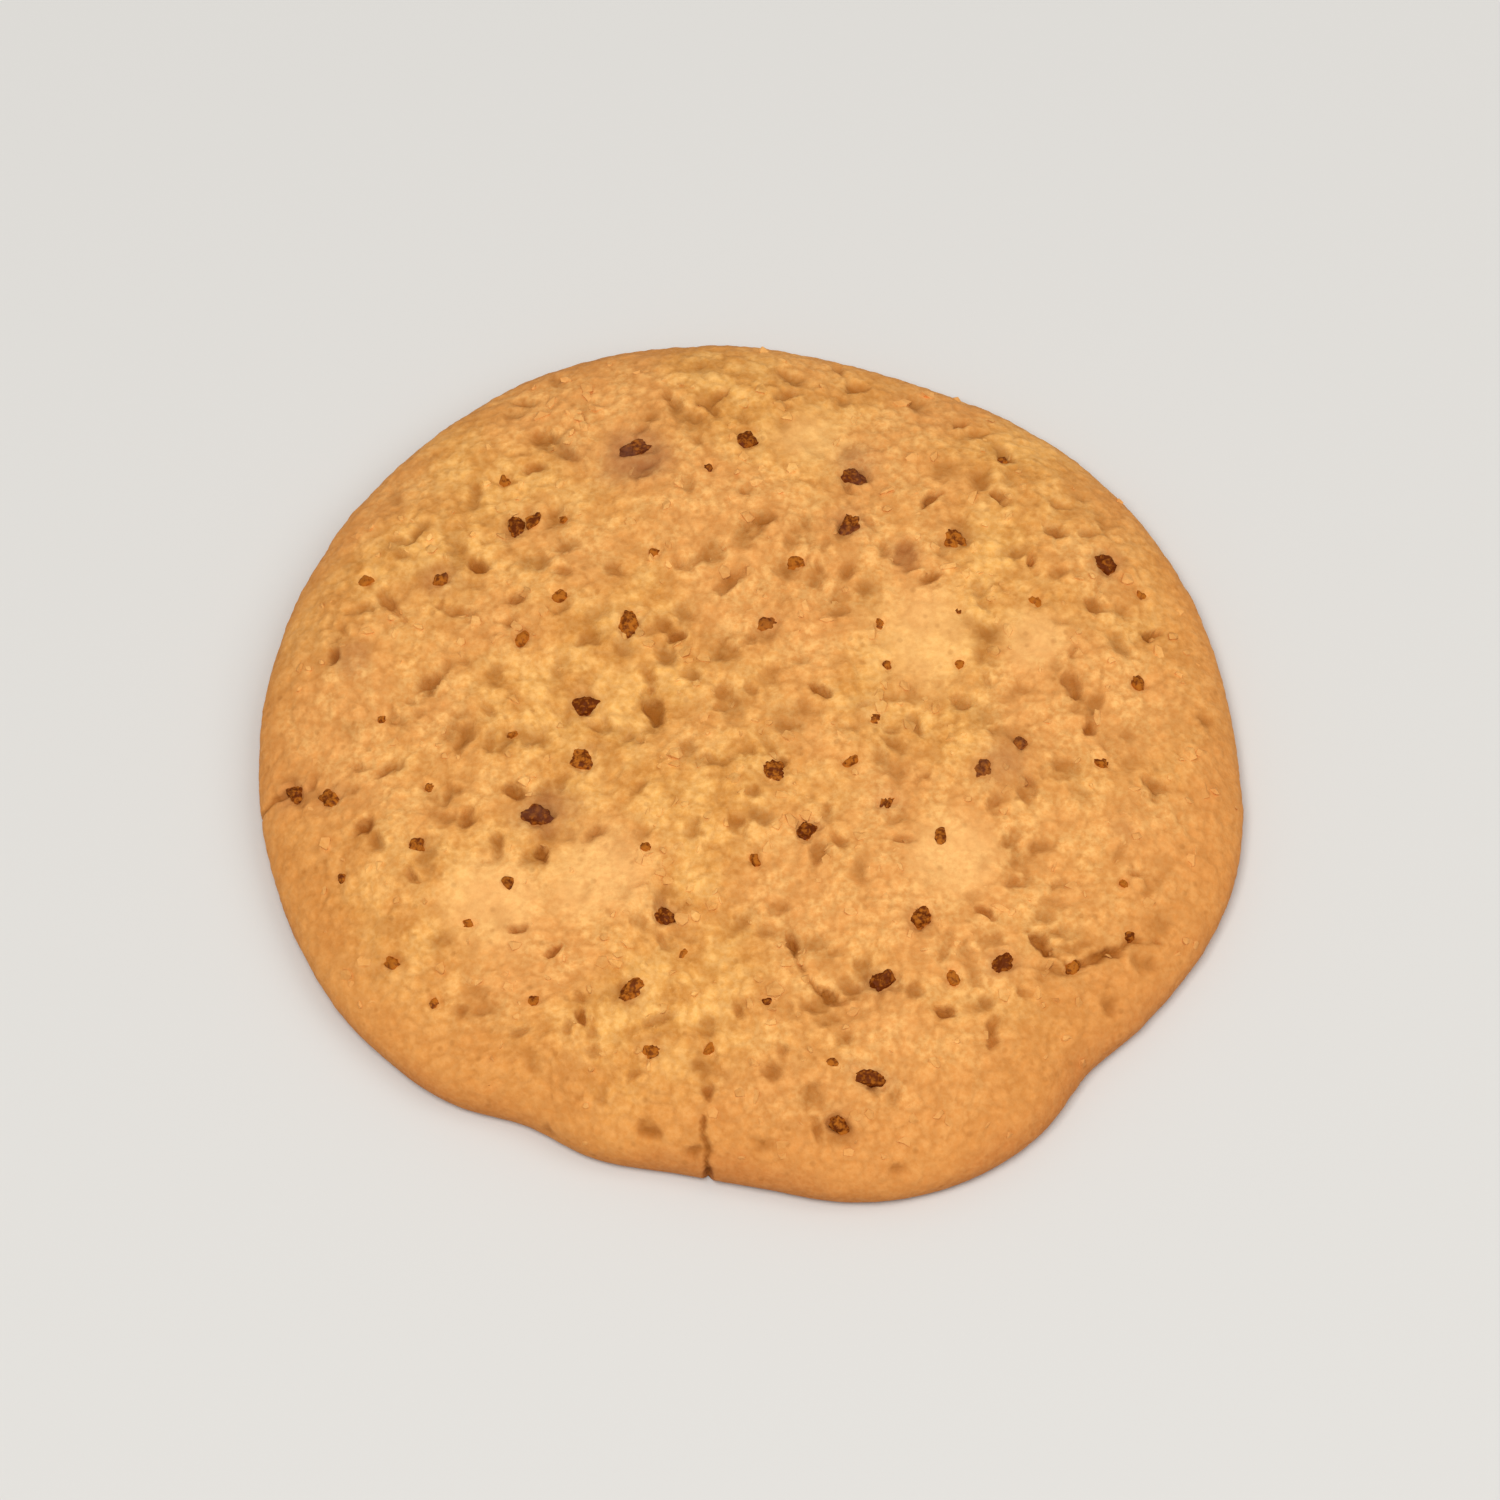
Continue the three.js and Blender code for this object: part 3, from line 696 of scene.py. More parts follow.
def crust_relief(dough, skin, angle, reach, points):
    """Relief of the crust along its normals, and the masks that the dough's finish reads."""
    rng = np.random.default_rng(dough.seed)
    flat = np.column_stack((reach * np.cos(angle), reach * np.sin(angle)))

    # Where the crust is level, and where it is clear of the foot.
    crown = smoothstep(dough.widest_at, dough.widest_at + 0.8 * dough.shoulder_rise, points[:, 2])
    loose = smoothstep(0.1 * dough.widest_at, 0.9 * dough.widest_at, points[:, 2])
    smooth = smooth_places(points)

    # Lumps and grains of crumb.
    bend, ragged = outline_noise(points)
    bent = np.column_stack((bend, ragged))
    lumps = soft_noise(points, dough.lump_size, shift=3.7)
    lumps += 0.55 * soft_noise(points, 2.3 * MM, shift=9.2)
    seams, grain_heights = grain_noise(points + bent, dough.crumb_size)
    fine_seams, fine_heights = grain_noise(points + 0.5 * bent, dough.fine_crumb_size, 31.0)
    open_seams = 1 - smoothstep(0, 0.45, seams)
    fine_open = 1 - smoothstep(0, 0.4, fine_seams)
    crumb = 0.8 * grain_heights - 0.75 * open_seams - 0.3 * fine_open + 0.35 * fine_heights
    grain = soft_noise(points, dough.grain_size, shift=21.4)
    rough = (0.35 + 0.65 * crown) * (1 - 0.55 * smooth)

    # Pores, pits with raised lips, and cracks broken up by beads.
    pores = spot_depth(flat + 1.3 * bend, skin, PORES, 0.22 * MM, 1.5 * ragged, 0.85)
    pinholes = spot_depth(flat + bend, skin, fine_pores(dough, rng), 0.25 * MM, 1.2 * ragged, 1)
    pinholes *= 1 - 0.6 * smooth
    pits = spot_depth(flat, skin, LARGE_BITS, dough.pit_margin, 1.3 * ragged)
    small_pits = spot_depth(flat, skin, SMALL_BITS, 0.5 * dough.pit_margin, 1.2 * ragged)
    lips = spot_depth(flat, skin, LARGE_BITS, 3 * dough.pit_margin, ragged)
    beads = smoothstep(-0.22, 0.25, soft_noise(points, 1.7 * MM, shift=91.0))
    cracks = crack_depth(flat, 1.3 * bend, beads)

    relief = loose * (
        dough.lump_height * lumps * (0.6 + 0.4 * crown)
        + dough.crumb_height * rough * crumb
        + dough.grain_height * rough * grain
        + dough.lip_height * lips * (1 - pits)
    )
    relief -= dough.pore_depth * pores * (1 + 0.4 * grain_heights + 0.5 * fine_heights)
    relief -= 0.7 * dough.pore_depth * pinholes
    relief -= dough.pit_depth * np.maximum(pits, 0.6 * small_pits)
    relief -= cracks

    # What the finish reads. The edge browns, and on one side painted shade reaches further in.
    lean = np.cos(angle - math.radians(SHADED_SIDE))
    drift = 0.06 * lean + 0.06 * soft_noise(points, 9 * MM, shift=14.2) + 0.03 * lumps
    browning = smoothstep(0.64, 1.06, reach / skin.foot + drift)
    # Pores, pinholes and cracks get painted shade, darker where they are deeper.
    deep = np.clip(pores + pinholes + np.minimum(0.7, cracks / (0.5 * MM)), 0, 1)
    stains = juice_stains(points, lumps)
    halos = spot_depth(flat, skin, LARGE_BITS, 1.2 * MM, ragged)
    halos *= 0.3 + 0.4 * soft_noise(points, 6 * MM, shift=77.0)
    closed = 1 - np.maximum(np.maximum(deep, pits), small_pits)
    broken = smoothstep(-0.4, 0.5, lumps + 0.3 * grain_heights)
    masks = {
        "browning": browning,
        "hollow": deep**0.8,
        # Painted shade in the seams between grains of crumb.
        "seam": np.clip(0.8 * open_seams**2 + 0.4 * fine_open**2, 0, 1) * rough,
        "stain": np.clip(np.maximum(stains, halos), 0, 1),
        "smooth": smooth,
        "crumbly": crown * closed * (1 - 0.8 * smooth) * broken,
        "speckled": crown * closed * (reach < 0.86 * skin.foot),
    }
    return relief, masks


# ---------------- meshes

# How far a point of the crust's grid may stray, as a share of a ring's width.
UNEVEN = 0.2


def mesh_from(name, points, triangles, material, masks):
    """A smooth-shaded mesh object at the origin, with a number at each point for every mask."""
    mesh = bpy.data.meshes.new(name)
    mesh.vertices.add(len(points))
    mesh.vertices.foreach_set("co", np.asarray(points, dtype=np.float32).ravel())
    mesh.loops.add(3 * len(triangles))
    mesh.loops.foreach_set("vertex_index", np.asarray(triangles, dtype=np.int32).ravel())
    mesh.polygons.add(len(triangles))
    mesh.polygons.foreach_set("loop_start", np.arange(0, 3 * len(triangles), 3, dtype=np.int32))
    mesh.update(calc_edges=True)
    mesh.validate()
    mesh.shade_smooth()
    for mask, values in masks.items():
        layer = mesh.attributes.new(mask, "FLOAT", "POINT")
        layer.data.foreach_set("value", np.asarray(values, dtype=np.float32))
    mesh.materials.append(material)
    piece = bpy.data.objects.new(name, mesh)
    bpy.context.scene.collection.objects.link(piece)
    return piece


def crust_mesh(dough, skin):
    """Points, triangles and masks of the crust, from its middle over the edge to the foot."""
    rng = np.random.default_rng(dough.seed + 1)
    ring, angle, faces = ring_disc(dough.rings)
    step = skin.foot / dough.rings
    inside = (ring > 0) & (ring < dough.rings)
    reach = ring * step + inside * rng.uniform(-UNEVEN, UNEVEN, len(ring)) * step
    angle = angle + inside * rng.uniform(-UNEVEN, UNEVEN, len(ring)) / np.maximum(1, ring)
    points, normals = skin.at(angle, reach)
    relief, masks = crust_relief(dough, skin, angle, reach, points)
    crust = points + normals * relief[:, None]
    foot = ring == dough.rings
    crust[foot, 2] = points[foot, 2]
    return crust, faces, masks


def base_mesh(dough, skin, rings):
    """Points, triangles and masks of the underside, with shallow pocks."""
    ring, angle, faces = ring_disc(rings)
    foot_share = np.interp(skin.foot, skin.reach, skin.share)
    radius = ring / (rings + 0.5) * foot_share * (edge_distance(angle) - dough.edge_inset)
    base = np.column_stack((radius * np.cos(angle), radius * np.sin(angle), np.zeros(len(ring))))
    pocks = smoothstep(0.15, 0.75, soft_noise(base, 1.9 * MM, shift=8.8))
    pocks += 0.5 * smoothstep(0.2, 0.8, soft_noise(base, 0.95 * MM, shift=18.8))
    dimples = 0.5 + 0.5 * soft_noise(base, 7 * MM, shift=2.2)
    patchy = 0.1 * soft_noise(base, 11 * MM, shift=6.6)
    # The pocks get painted shade; the fine seams darken the base in random specks.
    masks = {
        "browning": 0.82 + 0.22 * (radius / skin.radius) ** 4 + patchy,
        "hollow": 0.55 * np.clip(pocks, 0, 1),
        "seam": 0.4 * smoothstep(0.1, 0.6, soft_noise(base, 0.7 * MM, shift=4.4)),
    }
    base[:, 2] = skin.base_height(radius) + dough.pock_depth * pocks + dough.dimple_depth * dimples
    return base, faces, masks


def dough_mesh(dough, material):
    """The crust with its relief and the underside, closed at the foot."""
    skin = Skin(dough)
    crust, crust_faces, masks = crust_mesh(dough, skin)
    base_rings = dough.rings // 2
    base, base_faces, base_masks = base_mesh(dough, skin, base_rings)

    # Every second point of the crust's last ring meets one of the base's last ring.
    half = np.arange(6 * base_rings)
    after = (half + 1) % len(half)
    rim = len(crust) - 12 * base_rings
    last = len(crust) + len(base) - len(half)
    seam = np.concatenate(
        (
            np.column_stack((last + half, rim + 2 * half + 1, rim + 2 * half)),
            np.column_stack((last + half, last + after, rim + 2 * half + 1)),
            np.column_stack((last + after, rim + 2 * after, rim + 2 * half + 1)),
        )
    )
    faces = np.concatenate((crust_faces, base_faces[:, ::-1] + len(crust), seam))
    every = skin.centred(np.concatenate((crust, base)))
    plain = np.zeros(len(base))
    joined = {
        name: np.concatenate((mask, base_masks.get(name, plain))) for name, mask in masks.items()
    }
    return mesh_from("dough", every, faces, material, joined)


def lump_template(subdivisions):
    """Points and triangles of an even ball of radius 1."""
    ball = bmesh.new()
    bmesh.ops.create_icosphere(ball, subdivisions=subdivisions, radius=1)
    points = np.array([corner.co for corner in ball.verts])
    triangles = np.array([[corner.index for corner in face.verts] for face in ball.faces])
    ball.free()
    return points, triangles


# Flat cuts of a scrap: how many, how far from its middle out of 1, and how flat out of 1.
CUTS = 5
CUT_AT = (0.6, 0.9)
CUT_FLATNESS = 0.9


def chopped(ball, wrinkle, rng):
    """A scrap of dried fruit from the points of a ball: a few flat cuts, then wrinkled skin."""
    shift = rng.uniform(-50, 50, 3)
    scrap = ball * (1.06 + 0.36 * soft_noise(ball, 0.85, shift[0]))[:, None]
    for _ in range(CUTS):
        way = rng.normal(size=3) * (1, 1, 0.5)
        way /= np.linalg.norm(way)
        beyond = np.clip(scrap @ way - rng.uniform(*CUT_AT), 0, None)
        scrap -= CUT_FLATNESS * beyond[:, None] * way
    creases = np.clip(0.28 - np.abs(soft_noise(ball, 0.5, shift[1])), 0, 1)
    skin = 1 + 0.5 * wrinkle * soft_noise(ball, 0.35, shift[2]) - 1.6 * wrinkle * creases
    return scrap * skin[:, None]


# How the large and the small pieces of blueberry are made: subdivisions of the ball, most sunk in
# millimetres, and paleness before a piece's own weakness adds to it.
BIT_KINDS = (
    (LARGE_BITS, 4, 0.12, (0, 0.2)),
    (SMALL_BITS, 3, 0.3, (0.45, 1)),
)
# How much paler a piece gets as its strength goes from 1 to 0.
WEAK_PALENESS = 1.6


def berry_mesh(dough, berry, material):
    """Every named piece of blueberry: a shrivelled scrap sunk in its pit."""
    skin = Skin(dough)
    rng = np.random.default_rng(berry.seed)
    all_points, all_faces, tones, plums = [], [], [], []
    total = 0
    for bits, subdivisions, most_sunk, paleness in BIT_KINDS:
        ball, faces = lump_template(subdivisions)
        for bit in bits:
            angle, reach = skin.over(bit.x, bit.y)
            point, normal = skin.at(np.array([angle]), np.array([reach]))
            long, wide, deep = bit.long * MM, bit.wide * MM, berry.proud + berry.depth
            upright = Vector(normal[0]).to_track_quat("Z", "Y").to_matrix()
            heading = Matrix.Rotation(math.radians(bit.turn), 3, "Z")
            turned = np.array(upright @ heading)
            sunk = rng.uniform(0, most_sunk) * MM
            centre = point[0] + normal[0] * ((berry.proud - berry.depth) / 2 - sunk)
            scrap = chopped(ball, berry.wrinkle, rng) * np.array((long / 2, wide / 2, deep / 2))
            all_points.append(scrap @ turned.T + centre)
            all_faces.append(faces + total)
            tone = WEAK_PALENESS * (1 - bit.strength) + rng.uniform(*paleness)
            tones.append(np.full(len(ball), tone))
            juice = max(
                strength * (math.hypot(bit.x - x, bit.y - y) < size)
                for x, y, size, strength in STAINS
            )
            plums.append(np.full(len(ball), juice))
            total += len(ball)
    points = skin.centred(np.concatenate(all_points))
    masks = {"tone": np.concatenate(tones), "plum": np.concatenate(plums)}
    return mesh_from("berries", points, np.concatenate(all_faces), material, masks)


# ---------------- scatter by Geometry Nodes


def new_tree(name, kind, inputs, outputs):
    """A node tree with those sockets, each a name, kind and default, and its inputs' values."""
    tree = bpy.data.node_groups.new(name, kind)
    for sockets, way in ((inputs, "INPUT"), (outputs, "OUTPUT")):
        for socket_name, socket_kind, *default in sockets:
            socket = tree.interface.new_socket(
                name=socket_name, in_out=way, socket_type="NodeSocket" + socket_kind
            )
            if default:
                socket.default_value = default[0]
    return tree, new_node(tree, "NodeGroupInput").outputs


def new_node(tree, kind, values=None, **settings):
    """A node with its settings, and its input sockets given by name or number."""
    node = tree.nodes.new(kind)
    for name, value in settings.items():
        setattr(node, name, value)
    for key, value in (values or {}).items():
        if isinstance(value, bpy.types.NodeSocket):
            tree.links.new(value, node.inputs[key])
        else:
            node.inputs[key].default_value = value
    return node


def math_node(tree, operation, a, b):
    return new_node(tree, "ShaderNodeMath", {0: a, 1: b}, operation=operation).outputs[0]


def scaled_vector(tree, vector, factor):
    values = {0: vector, "Scale": factor}
    return new_node(tree, "ShaderNodeVectorMath", values, operation="SCALE").outputs[0]


def random_vector(tree, seed, low, high):
    values = {0: low, 1: high, "Seed": seed}
    return new_node(tree, "FunctionNodeRandomValue", values, data_type="FLOAT_VECTOR").outputs[0]


SCATTER_INPUTS = (
    ("Surface", "Geometry"),
    ("Density", "Float", 100000.0),
    ("Spacing", "Float", 0.5 * MM),
    ("Smallest", "Float", 0.3 * MM),
    ("Largest", "Float", 0.8 * MM),
    ("Sunk", "Float", 0.3),
    ("Dent", "Float", 0.3 * MM),
    ("Mask", "String", "crumbly"),
    ("Sides", "Int", 1),
    ("Seed", "Int", 1),
    ("Material", "Material"),
)
# Height of a lump as a share of its width.
FLATNESS = 0.48
# How much rarer large lumps are than small ones: 1 is not at all.
SMALLNESS = 2.2
# Dents on a metre.
DENT_SCALE = 1.5 / MM


def lump_sizes(tree, given, seed):
    """A random size for each lump, and its paleness: the smaller, the paler."""
    draw = new_node(tree, "FunctionNodeRandomValue", {"Seed": seed}, data_type="FLOAT")
    chance = draw.outputs[1]
    paleness = math_node(tree, "SUBTRACT", 1.0, math_node(tree, "MULTIPLY", chance, 0.6))
    share_of_span = math_node(tree, "POWER", chance, SMALLNESS)
    span = math_node(tree, "SUBTRACT", given["Largest"], given["Smallest"])
    growth = math_node(tree, "MULTIPLY", share_of_span, span)
    return math_node(tree, "ADD", given["Smallest"], growth), paleness


def dented(tree, lumps, dent):
    """The lumps with their corners moved at random, up to about half of dent each way."""
    corner = new_node(tree, "GeometryNodeInputPosition").outputs[0]
    rough = new_node(
        tree, "ShaderNodeTexNoise", {"Vector": corner, "Scale": DENT_SCALE, "Detail": 0.0}
    )
    middle = {0: rough.outputs["Color"], 1: (0.5, 0.5, 0.5)}
    both_ways = new_node(tree, "ShaderNodeVectorMath", middle, operation="SUBTRACT").outputs[0]
    moved = {"Geometry": lumps, "Offset": scaled_vector(tree, both_ways, dent)}
    return new_node(tree, "GeometryNodeSetPosition", moved).outputs[0]


def scatter_tree():
    """Flattish lumps of uneven size, scattered where a mask allows and sunk into the surface."""
    lumps_out = (("Lumps", "Geometry"),)
    tree, given = new_tree("Scatter lumps", "GeometryNodeTree", SCATTER_INPUTS, lumps_out)

    masked = {"Name": given["Mask"]}
    mask = new_node(tree, "GeometryNodeInputNamedAttribute", masked, data_type="FLOAT")
    places = {
        "Mesh": given["Surface"],
        "Distance Min": given["Spacing"],
        "Density Max": given["Density"],
        "Density Factor": mask.outputs["Attribute"],
        "Seed": given["Seed"],
    }
    spread = new_node(
        tree, "GeometryNodeDistributePointsOnFaces", places, distribute_method="POISSON"
    )

    second = math_node(tree, "ADD", given["Seed"], 1.0)
    third = math_node(tree, "ADD", given["Seed"], 2.0)
    size, paleness = lump_sizes(tree, given, second)
    above = math_node(tree, "MULTIPLY", math_node(tree, "SUBTRACT", 0.5, given["Sunk"]), FLATNESS)
    lift = scaled_vector(tree, spread.outputs["Normal"], math_node(tree, "MULTIPLY", size, above))
    lifted = {"Geometry": spread.outputs["Points"], "Offset": lift}
    placed = new_node(tree, "GeometryNodeSetPosition", lifted)

    one_wide = {"Radius": 0.5, "Subdivisions": given["Sides"]}
    ball = new_node(tree, "GeometryNodeMeshIcoSphere", one_wide)
    smallest, largest = (0.8, 0.6, 0.75 * FLATNESS), (1.35, 1.05, 1.25 * FLATNESS)
    lumps = {
        "Points": placed.outputs[0],
        "Instance": ball.outputs["Mesh"],
        "Rotation": spread.outputs["Rotation"],
        "Scale": scaled_vector(tree, random_vector(tree, given["Seed"], smallest, largest), size),
    }
    copies = new_node(tree, "GeometryNodeInstanceOnPoints", lumps)
    heading = random_vector(tree, third, (0, 0, 0), (0, 0, math.tau))
    turns = {"Instances": copies.outputs[0], "Rotation": heading}
    turned = new_node(tree, "GeometryNodeRotateInstances", turns)
    toned = new_node(
        tree,
        "GeometryNodeStoreNamedAttribute",
        {"Geometry": turned.outputs[0], "Name": "tone", "Value": paleness},
        data_type="FLOAT",
        domain="INSTANCE",
    )
    real = new_node(tree, "GeometryNodeRealizeInstances", {"Geometry": toned.outputs[0]})
    lumpy = dented(tree, real.outputs[0], given["Dent"])
    coated = {"Geometry": lumpy, "Material": given["Material"]}
    finished = new_node(tree, "GeometryNodeSetMaterial", coated)
    new_node(tree, "NodeGroupOutput", {"Lumps": finished.outputs[0]})
    return tree


def scattered(name, settings, mask, sides, material):
    """A plain mesh of the lumps that the scatter tree makes on the dough with these settings."""
    values = {"Mask": mask, "Sides": sides, "Material": material}
    for key in ("density", "spacing", "smallest", "largest", "sunk", "dent", "seed"):
        values[key.capitalize()] = getattr(settings, key)
    tree = bpy.data.node_groups.get("Scatter lumps") or scatter_tree()
    carrier = bpy.data.objects.new(name + "_carrier", bpy.data.objects["dough"].data)
    bpy.context.scene.collection.objects.link(carrier)
    modifier = carrier.modifiers.new("Scatter", "NODES")
    modifier.node_group = tree
    for item in tree.interface.items_tree:
        if item.in_out == "INPUT" and item.name in values:
            modifier[item.identifier] = values[item.name]
    evaluated = carrier.evaluated_get(bpy.context.evaluated_depsgraph_get())
    mesh = bpy.data.meshes.new_from_object(evaluated)
    mesh.name = name
    carrier.modifiers.remove(modifier)
    bpy.data.objects.remove(carrier)
    piece = bpy.data.objects.new(name, mesh)
    bpy.context.scene.collection.objects.link(piece)
    return piece


# ---------------- finishes

# What the colour of baked dough is made from: the settings' colours, the noise of its grain, and
# the masks on its mesh. A setting or a mask has its socket's name in small letters.
BAKED_COLOURS = ("Cream", "Gold", "Amber", "Rosy", "Pale", "Browned", "Foot", "Hollows", "Juice")
GRAIN_NOISE = ("Grain", "Patch", "Drift", "Pinhole")
BAKED_MASKS = ("Smooth", "Browning", "Hollow", "Seam", "Stain")


def mix_colours(tree, factor, a, b):
    return new_node(tree, "ShaderNodeMix", {0: factor, 6: a, 7: b}, data_type="RGBA").outputs[2]


def map_range(tree, value, low, high, to_low=0.0, to_high=1.0):
    values = {0: value, 1: low, 2: high, 3: to_low, 4: to_high}
    return new_node(tree, "ShaderNodeMapRange", values, interpolation_type="SMOOTHSTEP").outputs[0]


def noise_node(tree, vector, scale, detail, roughness):
    values = {"Vector": vector, "Scale": scale, "Detail": detail, "Roughness": roughness}
    return new_node(tree, "ShaderNodeTexNoise", values).outputs["Fac"]


def grain_group():
    """Fine grain of dough and dried fruit: grains, patches, wide drift, painted pinhole shade,
    height.
    """
    if "Fine crumb" in bpy.data.node_groups:
        return bpy.data.node_groups["Fine crumb"]
    sizes = (
        ("Place", "Vector"),
        ("Grain Size", "Float", 0.45 * MM),
        ("Patch Size", "Float", 4 * MM),
    )
    found = [(name, "Float") for name in (*GRAIN_NOISE, "Height")]
    tree, given = new_tree("Fine crumb", "ShaderNodeTree", sizes, found)
    fine = math_node(tree, "DIVIDE", 1.0, given["Grain Size"])
    wide = math_node(tree, "DIVIDE", 1.0, given["Patch Size"])
    grain = noise_node(tree, given["Place"], fine, 2.0, 0.6)
    patch = noise_node(tree, given["Place"], wide, 2.0, 0.6)
    drift = noise_node(tree, given["Place"], math_node(tree, "MULTIPLY", wide, 0.22), 1.0, 0.5)
    # Rare dots, where the baked colour paints pinholes as shade with no hole under them.
    holes = math_node(tree, "MULTIPLY", fine, 0.42)
    spaced = {"Vector": given["Place"], "Scale": holes, "Randomness": 1.0}
    cells = new_node(tree, "ShaderNodeTexVoronoi", spaced, feature="F1")
    chance = new_node(tree, "ShaderNodeSeparateColor", {0: cells.outputs["Color"]}).outputs[0]
    rare = map_range(tree, chance, 0.62, 0.8)
    dot = map_range(tree, cells.outputs["Distance"], 0.34, 0.12)
    outputs = {
        "Grain": map_range(tree, grain, 0.3, 0.7),
        "Patch": map_range(tree, patch, 0.34, 0.66),
        "Drift": map_range(tree, drift, 0.35, 0.65),
        "Pinhole": math_node(tree, "MULTIPLY", rare, dot),
        "Height": grain,
    }
    new_node(tree, "NodeGroupOutput", outputs)
    return tree


def baked_group():
    """Colour of baked dough: grain, browned edge and juice, with painted shade in pores and on one
    side.
    """
    if "Baked colour" in bpy.data.node_groups:
        return bpy.data.node_groups["Baked colour"]
    inputs = [(name, "Color") for name in BAKED_COLOURS]
    inputs += [(name, "Float") for name in (*GRAIN_NOISE, *BAKED_MASKS)]
    tree, given = new_tree("Baked colour", "ShaderNodeTree", inputs, (("Color", "Color"),))

    def scaled(name, factor):
        return math_node(tree, "MULTIPLY", given[name], factor)

    most = map_range(tree, given["Patch"], 0.2, 0.9, 0.2, 0.6)
    browning = map_range(tree, given["Browning"], 0.05, 0.8)
    steps = (
        ("Rosy", scaled("Drift", 0.8)),
        ("Pale", scaled("Smooth", 0.5)),
        ("Cream", math_node(tree, "MULTIPLY", given["Grain"], most)),
        ("Browned", math_node(tree, "MULTIPLY", browning, 0.8)),
        ("Foot", map_range(tree, given["Browning"], 0.8, 1.1)),
        ("Cream", scaled("Grain", 0.1)),
        # The seams, pinholes, pores and cracks get painted shade.
        ("Hollows", scaled("Seam", 0.34)),
        ("Hollows", scaled("Pinhole", 0.25)),
        ("Hollows", scaled("Hollow", 0.86)),
        ("Juice", scaled("Stain", 0.6)),
    )
    shade = mix_colours(tree, given["Patch"], given["Amber"], given["Gold"])
    for name, part in steps:
        shade = mix_colours(tree, part, shade, given[name])
    new_node(tree, "NodeGroupOutput", {"Color": shade})
    return tree


def new_material(name):
    material = bpy.data.materials.new(name)
    material.use_nodes = True
    tree = material.node_tree
    tree.nodes.clear()
    shader = new_node(tree, "ShaderNodeBsdfPrincipled")
    output = new_node(tree, "ShaderNodeOutputMaterial")
    tree.links.new(shader.outputs[0], output.inputs["Surface"])
    place = new_node(tree, "ShaderNodeTexCoord").outputs["Object"]
    return material, tree, shader, place


def grainy_surface(tree, shader, crumb, tint, rough, bump, shine):
    """Give a shader its colour and its reflections, and a roughness and a bump from the grain.

    rough is the roughness at both ends of the grain, and bump the strength and height of a bump."""
    strength, height = bump
    values = {"Strength": strength, "Distance": height, "Height": crumb.outputs["Height"]}
    links = {
        "Base Color": tint,
        "Roughness": map_range(tree, crumb.outputs["Grain"], 0.0, 1.0, *rough),
        "Normal": new_node(tree, "ShaderNodeBump", values).outputs[0],
    }
    for name, value in links.items():
        tree.links.new(value, shader.inputs[name])
    shader.inputs["Specular IOR Level"].default_value = shine


def attribute(tree, name):
    return new_node(tree, "ShaderNodeAttribute", attribute_name=name).outputs["Fac"]


def baked_material(name, dough, paler):
    """Baked dough: matt, gold to brown, with grain, and painted shade in pinholes and pores."""
    material, tree, shader, place = new_material(name)
    sizes = {"Grain Size": 0.42 * MM, "Patch Size": 2.8 * MM}
    crumb = new_node(tree, "ShaderNodeGroup", {"Place": place, **sizes}, node_tree=grain_group())
    values = {name: getattr(dough, name.lower()) for name in BAKED_COLOURS}
    values |= {name: crumb.outputs[name] for name in GRAIN_NOISE}
    values |= {name: attribute(tree, name.lower()) for name in BAKED_MASKS}
    baked = new_node(tree, "ShaderNodeGroup", values, node_tree=baked_group()).outputs["Color"]
    if paler:
        lift = math_node(tree, "MULTIPLY", attribute(tree, "tone"), paler)
        baked = mix_colours(tree, lift, baked, dough.cream)
    bump = (0.55, 0.12 * MM)
    grainy_surface(tree, shader, crumb, baked, rough=(0.86, 0.7), bump=bump, shine=0.12)
    return material


def berry_material(name, berry):
    """Dried blueberry: dark brown skin with lighter flesh, and purple where the juice has run."""
    material, tree, shader, place = new_material(name)
    sizes = {"Grain Size": 0.4 * MM, "Patch Size": 1.5 * MM}
    crumb = new_node(tree, "ShaderNodeGroup", {"Place": place, **sizes}, node_tree=grain_group())
    tone = attribute(tree, "tone")
    flesh = map_range(tree, math_node(tree, "ADD", tone, crumb.outputs["Grain"]), 0.45, 1.55)
    skin = mix_colours(tree, flesh, berry.skin, berry.flesh)
    purple = math_node(tree, "MULTIPLY", attribute(tree, "plum"), crumb.outputs["Patch"])
    skin = mix_colours(tree, purple, skin, berry.plum)
    bump = (0.5, 0.08 * MM)
    grainy_surface(tree, shader, crumb, skin, rough=(0.55, 0.8), bump=bump, shine=0.08)
    return material


def floor_material(name, studio):
    material, _, shader, _ = new_material(name)
    shader.inputs["Base Color"].default_value = studio.floor
    shader.inputs["Roughness"].default_value = 0.75
    shader.inputs["Specular IOR Level"].default_value = 0.2
    return material


# ---------------- operators


def ride(piece, slot):
    """The piece belongs to the cookie's one body."""
    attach(piece, BODY)
    slots = [material["slot"] for material in frame["record"]["materials"]]
    slot if slot in slots else slots[0]


class COOKIE_OT_dough(bpy.types.Operator):
    """Model the baked dough with its relief, in place of the plain solid"""

    bl_idname = "cookie.dough"
    bl_label = "Baked Dough"

    def execute(self, context):
        dough = context.scene.cookie_dough
        piece = dough_mesh(dough, baked_material("Baked dough", dough, paler=0))
        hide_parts(NODE)
        ride(piece, "baked_dough")
        return {"FINISHED"}


class COOKIE_OT_berries(bpy.types.Operator):
    """Model the pieces of blueberry and scatter the berry specks"""

    bl_idname = "cookie.berries"
    bl_label = "Blueberry Pieces"

    def execute(self, context):
        dough, berry = context.scene.cookie_dough, context.scene.cookie_berry
        material = berry_material("Dried blueberry", berry)
        ride(berry_mesh(dough, berry, material), "blueberry")
        specks = scattered("berry_specks", berry, mask="speckled", sides=2, material=material)
        ride(specks, "blueberry")
        return {"FINISHED"}


